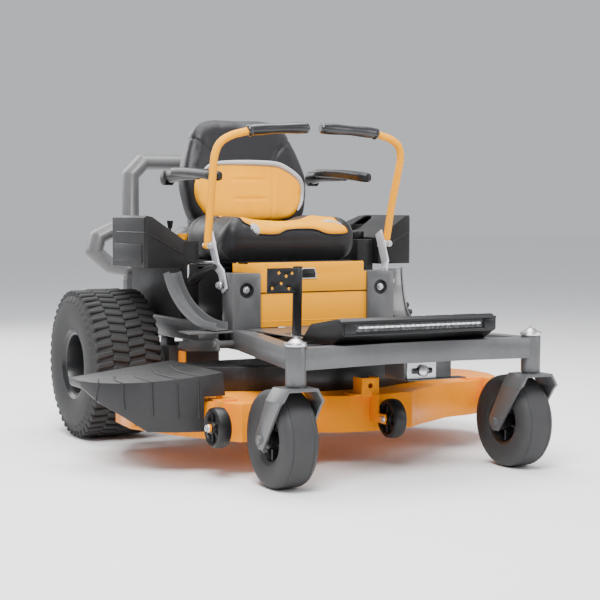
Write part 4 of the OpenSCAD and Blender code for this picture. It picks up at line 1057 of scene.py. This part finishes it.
chromeRod = {"route": [(-345, -366, 556), (-345, -368, 606), (-345, -575, 613)], "radius": 0.0046}
rod = tube(roundPath([at(*p) for p in chromeRod["route"]], 0.018, 7), chromeRod["radius"], 16)
finishPiece("handleRod", rod, "chrome", "chassis", (), 40)
lever = tube(roundPath([at(-345, -575, 600), at(-345, -500, 585), at(-342, -392, 548)], 0.03, 5),
             lambda t: 0.009 + 0.009 * t, 18)
finishPiece("handleLever", lever, "blackPlastic", "chassis", (), 40)

# front end
footTread = {"rows": 9, "columns": 5, "bar": (0.078, 0.006, 0.0035)}
tread = bmesh.new()
for row in range(footTread["rows"]):
    t = (row + 0.5) / footTread["rows"]
    for column in range(footTread["columns"]):
        x = (column - (footTread["columns"] - 1) / 2) * 95 + (20 if row % 2 else -20)
        bar = roundedBlock(footTread["bar"], 0.0012, 1)
        place = Matrix.Translation(at(x, -1219 + 160 * t,
                                      475.2 - 24.8 * t)) @ Matrix.Rotation(math.radians(-8.8), 4, "X")
        joinInto(tread, bar, place)
finishPiece("footTread", tread, "tyreRubber", "chassis", (), 40)
lip = blockBetween(at(-256, -1250, 464), at(256, -1226, 470), 0.002, 2)
for x in (-252, 214):
    joinInto(lip, blockBetween(at(x, -1249, 434), at(x + 38, -1243, 463), 0.002, 2))
joinInto(lip, blockBetween(at(-252, -1248, 427), at(252, -1240, 436), 0.003, 2))
finishPiece("lampFrame", lip, "blackPlastic", "chassis", (), 40)

lamp = blockBetween(at(-212, -1243, 438), at(212, -1225, 459), 0.001, 1)
finishPiece("lampGlass", lamp, "lampLens", "chassis", ("light_bar",), 40)
cells = bmesh.new()
for k in range(24):
    x = -205 + k * 17.1
    joinInto(cells, blockBetween(at(x, -1245.2, 448), at(x + 15.6, -1242, 453.5), 0.0012, 1))
finishPiece("lampStrip", cells, "lampWhite", "chassis", (), 40)

plateShape = {"low": (27, -1124.5, 281), "high": (128, -1121.2, 330)}
plate = blockBetween(at(*plateShape["low"]), at(*plateShape["high"]), 0.001, 1)
finishPiece("hitchPlate", plate, "zincPlate", "chassis", (), 40)
# painted shade: a black capsule stands in for the shade inside the open slot
slotRoute = roundPath([at(46, -1124.6, 305), at(110, -1124.6, 305)], 0.001, 1)
finishPiece("hitchSlot", tube(slotRoute, 0.0085, 20), "blackPaint", "chassis", (), 40)
knob = lathe([(0, 0.0001), (0, 0.017), (0.004, 0.0165), (0.008, 0.012), (0.0095, 0.0001)], 40)
knob.transform(Matrix.Rotation(math.radians(-90), 4, "Z"))
finishPiece("hitchKnob", moved(knob, at(80, -1131, 305)), "zincPlate", "chassis", (), 40)

for side, name in ((-1, "Right"), (1, "Left")):
    body = "fork_" + name.lower()
    bolts = bmesh.new()
    for face in (-1, 1):
        bolt = hexBolt(0.0115, 0.012, 1.4)
        if face < 0:
            bolt.transform(Matrix.Rotation(math.pi, 4, "Z"))
        joinInto(bolts, bolt, Matrix.Translation(at(side * 394.5 + face * 64.8, -1145, 140.5)))
    cap = alongZ(lathe([(0, 0.0001), (0, 0.0312), (0.005, 0.0325), (0.009, 0.031), (0.012, 0.021),
                        (0.019, 0.013),
                        (0.021, 0.006), (0.026, 0.0046), (0.0265, 0.0001)], 40))
    joinInto(bolts, moved(cap, at(side * 394.5, -1229, 406.6)))
    finishPiece("forkBolts" + name, bolts, "zincPlate", body, (), 30)


def guideWheel(name):
    low, high, middle = boxOf("guide_wheel_" + name)
    outer, half = (high.z - low.z) / 2, (high.x - low.x) / 2
    profile = [(-half, 0.0082), (-half, 0.018), (-half * 0.5, 0.021), (-half * 0.42, outer - 0.019),
               (-half * 0.86, outer - 0.013), (-half * 0.95, outer - 0.008), (-half * 0.72, outer - 0.002),
               (-half * 0.3, outer)]
    profile += [(-a, r) for a, r in reversed(profile)]
    bm = lathe(profile, 72)
    for face in (-1, 1):
        for k in range(6):
            rib = roundedBlock((half * 0.42, 0.0045, outer - 0.037), 0.001, 1)
            joinInto(bm, rib, Matrix.Rotation(k * math.tau / 6, 4, "X")
                     @ Matrix.Translation((face * half * 0.6, 0, (outer + 0.001) / 2)))
    finishPiece("guideWheel" + name.title(), moved(bm, middle), "blackPlastic", "guide_" + name,
                ("guide_wheel_" + name,), 30)
    bolt = hexBolt(0.0095, 0.008, 1.25)
    bolt.transform(Matrix.Rotation(math.pi, 4, "Z"))
    moved(bolt, middle + Vector((-half - 0.009, 0, 0)))
    finishPiece("guideBolt" + name.title(), bolt, "zincPlate", "deck", (), 30)


for name in ("right", "middle", "left"):
    guideWheel(name)

# chute ribs
chuteRibs = {"at": (-500, -560, -625, -690, -742), "radius": 0.0032}
shellMesh = bmesh.new()
shellMesh.from_mesh(nodes["discharge_chute"].data)
shellTree = treeOf(shellMesh)
ribs = bmesh.new()
for k, x in enumerate(chuteRibs["at"]):
    route = []
    for step in range(40):
        angle = math.radians(128 - step * 3.6)
        start = at(x - 26 * math.sin(step / 39 * 2.2), -640, 214)
        away = Vector((0, -math.cos(angle), math.sin(angle)))
        hits, spot = [], start.copy()
        for _ in range(4):
            hit = shellTree.ray_cast(spot, away)[0]
            if not hit:
                break
            hits.append(hit)
            spot = hit + away * 0.0005
        if hits:
            route.append(hits[-1] + away * 0.0008)
    route = [p for i, p in enumerate(route) if i == 0 or (p - route[i - 1]).length < 0.05]
    if len(route) > 4:
        joinInto(ribs, tube(route, chuteRibs["radius"], 10))
shellMesh.free()
finishPiece("chuteRibs", ribs, "chutePlastic", "chute", (), 40)

# side fenders
for side, name in ((-1, "Right"), (1, "Left")):
    inner, outer = sorted((side * 497, side * 503.5))
    ledge = blockBetween(at(inner, -350, 606), at(outer, -96, 668), 0.0028, 2)
    finishPiece("fenderLedge" + name, ledge, "fenderPlastic", "chassis", (), 40)
    seam = tube([at(side * 500.6, -120, 706), at(side * 500.6, -362, 706), at(side * 494, -376.6, 704),
                 at(side * 367, -376.6, 634)], 0.0016, 8)
    finishPiece("fenderSeam" + name, seam, "blackPlastic", "chassis", (), 40)
print("details ready")


steelwork = {
    "main_rails": ("graphitePaint", 0.0025), "front_beam": ("graphitePaint", 0.0025),
    "caster_tubes": ("graphitePaint", 0.001), "rear_frame": ("graphitePaint", 0.001),
    "seat_towers": ("graphitePaint", 0.0012), "fender_braces": ("graphitePaint", 0.0012),
    "floor_pan": ("graphitePaint", 0.0008), "lift_shaft": ("graphitePaint", 0.001),
    "caster_fork_right": ("graphitePaint", 0.0015), "caster_fork_left": ("graphitePaint", 0.0015),
    "seat_box": ("blackPaint", 0.001), "lift_pedal": ("blackPaint", 0.001),
    "seat_plate": ("blackPaint", 0.001),
    "seat_pan": ("blackPaint", 0.001), "belt_cover": ("blackPaint", 0.004),
    "lower_panel": ("yellowPaint", 0.001),
    "upper_panel": ("yellowPaint", 0.001), "deck_shell": ("deckPaint", 0.0015),
    "deck_brackets": ("deckPaint", 0.001), "lever_base_right": ("silverPaint", 0.0008),
    "lever_base_left": ("silverPaint", 0.0008), "transaxles": ("castMetal", 0.002),
    "engine_block": ("castMetal", 0.001), "battery_cover": ("fenderPlastic", 0.004),
    "fuel_tank": ("fenderPlastic", 0.005), "fuel_cap": ("blackPlastic", 0.002),
    "battery": ("blackPlastic", 0.002),
    "discharge_chute": ("chutePlastic", 0.001), "fender_right": ("fenderPlastic", 0.003),
    "fender_left": ("fenderPlastic", 0.003), "engine_shroud": ("blackPlastic", 0.004),
    "foot_rest": ("blackPlastic", 0.002), "rear_guard": ("guardPaint", 0.0),
    "muffler": ("heatedSteel", 0.002)}
for node, (finish, bevel) in steelwork.items():
    softened(node, finish, bevel)

plain = {
    "drive_belt": "beltRubber", "deck_belt": "beltRubber", "crank_pulley": "zincPlate",
    "input_pulley_right": "zincPlate", "input_pulley_left": "zincPlate", "frame_bolts": "zincPlate",
    "blade_right": "bladeSteel", "blade_middle": "bladeSteel", "blade_left": "bladeSteel",
    "blade_switch": "yellowPaint", "throttle_lever": "blackPlastic"}
for node, finish in plain.items():
    nodes[node].data.materials.clear()
    nodes[node].data.materials.append(paint[finish])
print("frame dressed")
